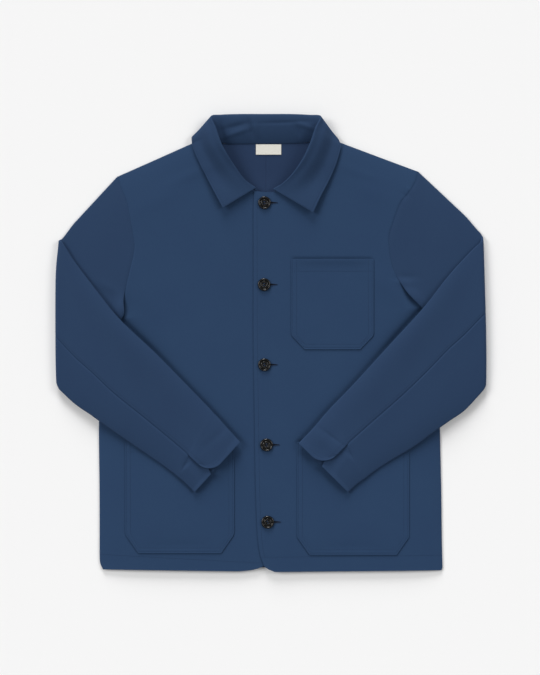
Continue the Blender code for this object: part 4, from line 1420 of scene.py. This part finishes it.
# ---------------------------------------------------------------- buttons
@dataclass
class Buttons:
    """Five turned buttons with a dished middle, a channel and a raised round rim."""

    lie: Lie
    horn: bpy.types.Material
    thread: bpy.types.Material
    gap: float = 0.3
    hole_radius: float = 1.1
    hole_spread: float = 1.7
    hole_depth: float = 1.5
    hole_edge: tuple[float, float] = (0.8, 1.15)
    dish_rings: tuple[float, float] = (4.6, 0.2)
    dish_points: int = 4
    outer_rings: int = 46
    strands: tuple[float, float, float] = (-0.35, 0.0, 0.35)
    segments: int = 96
    places: tuple[tuple[float, float, float], ...] = (
        (-11.5, 238, 0.1), (-12, 99, -0.12), (-11.5, -37, 0.2), (-8, -173, -0.05), (-6, -304, 0.3))
    profile: tuple[tuple[float, float], ...] = (
        (0.0, 1.75), (2.4, 1.75), (3.8, 1.95), (4.8, 2.3), (5.5, 2.3), (6.1, 1.9), (6.7, 1.5),
        (7.3, 1.6), (7.9, 2.4), (8.6, 3.15), (9.3, 3.4), (10.1, 3.1), (10.7, 2.3), (10.9, 1.5),
        (10.5, 0.6), (9.6, 0.1), (7.0, 0.0), (0.0, 0.0))

    def surface(self, x: float, y: float, turn: float) -> Surface:
        """The profile carried round, with four pits of depth * (1 - ease) sunk in the dish."""
        inner = np.arange(0, *self.dish_rings)
        last = len(self.profile) - 1
        outer = rail(np.array(self.profile), np.linspace(self.dish_points - 1, last,
                                                         self.outer_rings), (last - 1,))
        dish_z = np.interp(inner, *np.array(self.profile[:self.dish_points]).T)
        radii = np.concatenate([inner, outer[:, 0]])
        heights = np.concatenate([dish_z, outer[:, 1]])
        angle = np.linspace(0, 2 * np.pi, self.segments + 1)
        px, py = radii[:, None] * np.cos(angle), radii[:, None] * np.sin(angle)
        nearest = np.hypot(np.abs(px) - self.hole_spread, np.abs(py) - self.hole_spread)
        on_top = (np.arange(len(radii)) < len(inner) + self.dish_points)[:, None]
        pit = self.hole_depth * (1 - ease(*self.hole_edge, nearest / self.hole_radius)) * on_top
        z = self.seat(x, y) + heights[:, None] - pit
        cos, sin = math.cos(turn), math.sin(turn)
        points = np.stack([x + px * cos - py * sin, y + px * sin + py * cos, z], axis=-1)
        return Surface(points, points[..., :2])

    def seat(self, x: float, y: float) -> float:
        """Height of a button's underside, a little above the front."""
        front = float(self.lie.front(Side.LEFT, np.array(x, float), np.array(y, float)))
        return front + self.lie.cloth / 2 + self.gap

    def threads(self, x: float, y: float, turn: float) -> list[tuple[Array, Array]]:
        """Two bars of thread, each from one hole to the next."""
        z = self.seat(x, y) + self.profile[0][1] - 0.1
        up = np.tile((0.0, 0.0, 1.0), (6, 1))
        run = np.linspace(-self.hole_spread - 0.3, self.hole_spread + 0.3, 6)
        lines = []
        for offset in (-self.hole_spread, self.hole_spread):
            for strand in self.strands:
                px, py = run, np.full(6, offset + strand)
                lines.append((np.column_stack([x + px * math.cos(turn) - py * math.sin(turn),
                                               y + px * math.sin(turn) + py * math.cos(turn),
                                               np.full(6, z)]), up))
        return lines

    def build(self) -> None:
        """Make the buttons and the threads that hold them."""
        stitch = Lockstitch(self.thread, length=3.9, gap=9.0, radius=0.24, rise=0.35, sink=0.15)
        for number, (x, y, turn) in enumerate(self.places, start=1):
            surface = self.surface(x, y, turn)
            piece = surface.build(f"turned_button_{number}", self.horn)
            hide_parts(f"button_{number}")
            close_up(piece)
            stitch.sew(f"button_thread_{number}", self.threads(x, y, turn))
            LOG.info("turned_button_%d at %.1f, %.1f", number, x, y)


def close_up(piece: bpy.types.Object) -> None:
    """Merge the doubles along a turned piece's seam and at its poles, and face it outwards."""
    shape = bmesh.new()
    shape.from_mesh(piece.data)
    bmesh.ops.remove_doubles(shape, verts=shape.verts, dist=0.02 * MM)
    bmesh.ops.recalc_face_normals(shape, faces=shape.faces)
    shape.to_mesh(piece.data)
    shape.free()


@dataclass
class Buttonholes:
    """Horizontal worked buttonholes, pulled open a little beside each button's shank."""

    lie: Lie
    thread: bpy.types.Material
    # Painted shadow: the finish of the slit sheet, near-black for the shade inside the opening
    dark: bpy.types.Material
    length: float = 22.0
    back: float = 3.0
    band: float = 1.1
    rise: float = 0.45
    shut: float = 0.35
    open: float = 2.1
    narrowing: float = 0.8
    path_points: int = 181
    slit_lift: float = 0.08

    def half_width(self, part: Array) -> Array:
        """Half the slit's opening along it: sqrt ends, widest beside the button."""
        round_ends = np.sqrt(np.clip(part * (1 - part) * 4, 0, 1))
        return self.shut + self.open * round_ends * (1 - self.narrowing * part)

    def height(self, x: Array, y: Array) -> Array:
        """Top of the over front."""
        return self.lie.front(Side.LEFT, x, y) + self.lie.cloth / 2

    def band_surface(self, x: float, y: float) -> Surface:
        """A corded ring round the slit: a half-round section along a long oval path."""
        turn = np.linspace(0, 2 * np.pi, self.path_points)
        part = (1 - np.cos(turn)) / 2
        path_x = x - self.back + part * (self.length + self.back)
        path_y = y + np.sign(np.sin(turn)) * self.half_width(part) * np.abs(np.sin(turn))**0.3
        away = np.stack([np.cos(turn) * -0.6, np.sin(turn)], axis=-1)
        away /= np.linalg.norm(away, axis=-1, keepdims=True)
        arc = np.linspace(-0.15, math.pi + 0.15, 9)
        cord = 1 + 0.18 * np.sin(np.arange(self.path_points) * 2.1)[:, None]
        out = self.band * (1 - np.cos(arc)) / 2
        px = path_x[:, None] + away[:, :1] * out
        py = path_y[:, None] + away[:, 1:] * out
        pz = self.height(px, py) + self.rise * np.sin(arc) * cord
        points = np.stack([px, py, pz], axis=-1)
        return Surface(points, points[..., :2])

    def slit_surface(self, x: float, y: float) -> Surface:
        """The opening between the two bands, just above the cloth, in a near-black finish that
        paints the shadow inside the slit.
        """
        part = np.linspace(0, 1, 24)[:, None]
        side = np.linspace(-1, 1, 5)[None, :]
        px = x - self.back + part * (self.length + self.back) + 0 * side
        py = y + side * (self.half_width(part) + 0.1)
        points = np.stack([px, py, self.height(px, py) + self.slit_lift], axis=-1)
        return Surface(points, points[..., :2])

    def build(self, places: tuple[tuple[float, float, float], ...]) -> None:
        """Make a buttonhole under each button."""
        for number, (x, y, _) in enumerate(places, start=1):
            self.band_surface(x, y).build(f"buttonhole_band_{number}", self.thread)
            self.slit_surface(x, y).build(f"buttonhole_slit_{number}", self.dark)
            LOG.info("buttonhole_%d", number)


# ---------------------------------------------------------------- label
@dataclass
class NeckLabel:
    """A bare woven tape on the back, just under the neck seam."""

    lie: Lie
    left: float = -26.0
    right: float = 17.0
    top: float = 337.5
    bottom: float = 320.0
    wall: float = 0.7
    gap: float = 0.4
    bow: float = 0.25
    bow_reach: float = 14.0
    columns: int = 44
    rows: int = 20

    def surface(self) -> Surface:
        """A flat patch with a slight bow, a little above the back."""
        x, y = np.meshgrid(np.linspace(self.left, self.right, self.columns),
                           np.linspace(self.top, self.bottom, self.rows))
        bow = self.bow * bell(x - (self.left + self.right) / 2, self.bow_reach)
        z = self.lie.lower(x, y) + self.lie.cloth / 2 + self.gap + self.wall / 2 + bow
        return Surface(np.stack([x, y, z], axis=-1), np.stack([x, y], axis=-1))

    def build(self, tape: bpy.types.Material) -> Surface:
        surface = self.surface()
        piece = surface.build("woven_neck_label", tape, self.wall)
        declare_sheet("neck_label")
        return surface


# ---------------------------------------------------------------- studio
@dataclass
class Studio:
    """A plain pale surface, soft light from three sides, and the camera above."""

    view_x: float = -2.1
    view_y: float = 9.3
    height: float = 3192.0
    lens: float = 100.0
    sky: float = 0.348
    spread: float = 26.0
    lamps: tuple[tuple[str, float, float, float], ...] = (
        ("left_softbox", 1.3, 52.0, 70.0),
        ("right_softbox", 0.82, 52.0, -70.0),
        ("low_softbox", 2.35, 70.0, 8.0))
    floor_white: str = "#F4F4F4"
    floor_size: float = 30000.0
    floor_drop: float = 0.8

    def floor(self) -> None:
        """The surface that the jacket lies on."""
        bpy.ops.mesh.primitive_plane_add(size=self.floor_size * MM,
                                         location=(0, 0, -self.floor_drop * MM))
        floor = bpy.context.object
        floor.name = "lying_surface"
        material, _, shader = blank_material("matt_white_paper_sweep")
        shader.inputs["Base Color"].default_value = linear(self.floor_white)
        shader.inputs["Roughness"].default_value = 0.9
        shader.inputs["Specular IOR Level"].default_value = 0.1
        floor.data.materials.append(material)

    def lights(self) -> None:
        """An even bright room, two large far softboxes to the sides, and a low one.

        The low one stands beyond the collar and rakes the cloth.  A lamp's row gives its name,
        its power, its slant from straight down and how far it is turned sideways, in degrees.
        """
        world = bpy.data.worlds.new("bright_room")
        world.use_nodes = True
        background = world.node_tree.nodes["Background"]
        background.inputs["Color"].default_value = (1.0, 1.0, 1.0, 1.0)
        background.inputs["Strength"].default_value = self.sky
        bpy.context.scene.world = world
        for name, power, slant, turn in self.lamps:
            lamp = bpy.data.lights.new(name, "SUN")
            lamp.energy = power
            lamp.angle = math.radians(self.spread)
            box = bpy.data.objects.new(name, lamp)
            box.rotation_euler = (math.radians(-slant), 0, math.radians(turn))
            bpy.context.scene.collection.objects.link(box)

    def camera(self) -> None:
        """Straight above, with the collar at the top of the frame."""
        data = bpy.data.cameras.new("camera")
        data.sensor_width = 36.0
        data.lens = self.lens
        data.clip_end = 50.0
        camera = bpy.data.objects.new("camera", data)
        camera.location = (self.view_x * MM, self.view_y * MM, self.height * MM)
        bpy.context.scene.collection.objects.link(camera)
        bpy.context.scene.camera = camera

    def build(self) -> None:
        """Set the stage."""
        self.floor()
        self.lights()
        self.camera()
        bpy.context.scene.view_settings.view_transform = "Standard"


def main() -> None:
    """Build the jacket's looks, piece by piece."""
    logging.basicConfig(level=logging.INFO, format="%(name)s: %(message)s")
    Studio().build()
    drill = Drill("navy_cotton_drill", "#28415F", "#233959").build()
    # Painted shade: a darker copy of the drill for the sleeves and collar, standing for the shade
    # that falls on them, not a different cloth or weave direction
    shaded_drill = Drill("navy_cotton_drill_twill_turned", "#273E5B", "#223655").build()
    inside = Drill("navy_cotton_drill_wrong_side", "#263A58", "#213250").build()
    thread = SewingThread("navy_polyester_thread", "#22344F").build()
    # Painted shadow: a near-black sheet for the shade inside each buttonhole slit, made with the
    # thread finish but not thread
    dark = SewingThread("shadowed_cloth_in_slit", "#0A101C").build()
    horn = HornPolyester().build()

    lie = Lie()
    body = Body(lie, drill, inside)
    panels = body.build()
    sleeves = {}
    for sleeve in SLEEVES.values():
        sleeves.update(sleeve.build(lie, body, shaded_drill))
    collar = Collar(lie)
    collar_surface = collar.build(shaded_drill)
    pockets = [pocket.build(lie, drill) for pocket in POCKETS]
    NeckLabel(lie).build(WovenTape().build())
    buttons = Buttons(lie, horn, thread)
    buttons.build()
    Buttonholes(lie, thread, dark).build(buttons.places)

    stitch = Lockstitch(thread)
    sewing = Topstitching(lie)
    for pocket, surface in zip(POCKETS, pockets):
        stitch.sew(f"{pocket.name}_stitches", sewing.pocket_lines(surface, pocket.hem))
    for side in Side:
        name = side.name.lower()
        stitch.sew(f"front_{name}_stitches", sewing.front_lines(panels[f"front_{name}"]))
        stitch.sew(f"sleeve_{name}_stitches",
                   sewing.sleeve_lines(sleeves[f"top_sleeve_{name}"], lie.cloth / 2))
    stitch.sew("collar_stitches", sewing.collar_lines(collar_surface, collar.cloth))
    tack = Lockstitch(thread, length=5.0, gap=6.0, radius=0.35)
    tack.sew("sleeve_tack_left", sewing.tack(sleeves["top_sleeve_left"]))


if __name__ == "__main__":
    main()
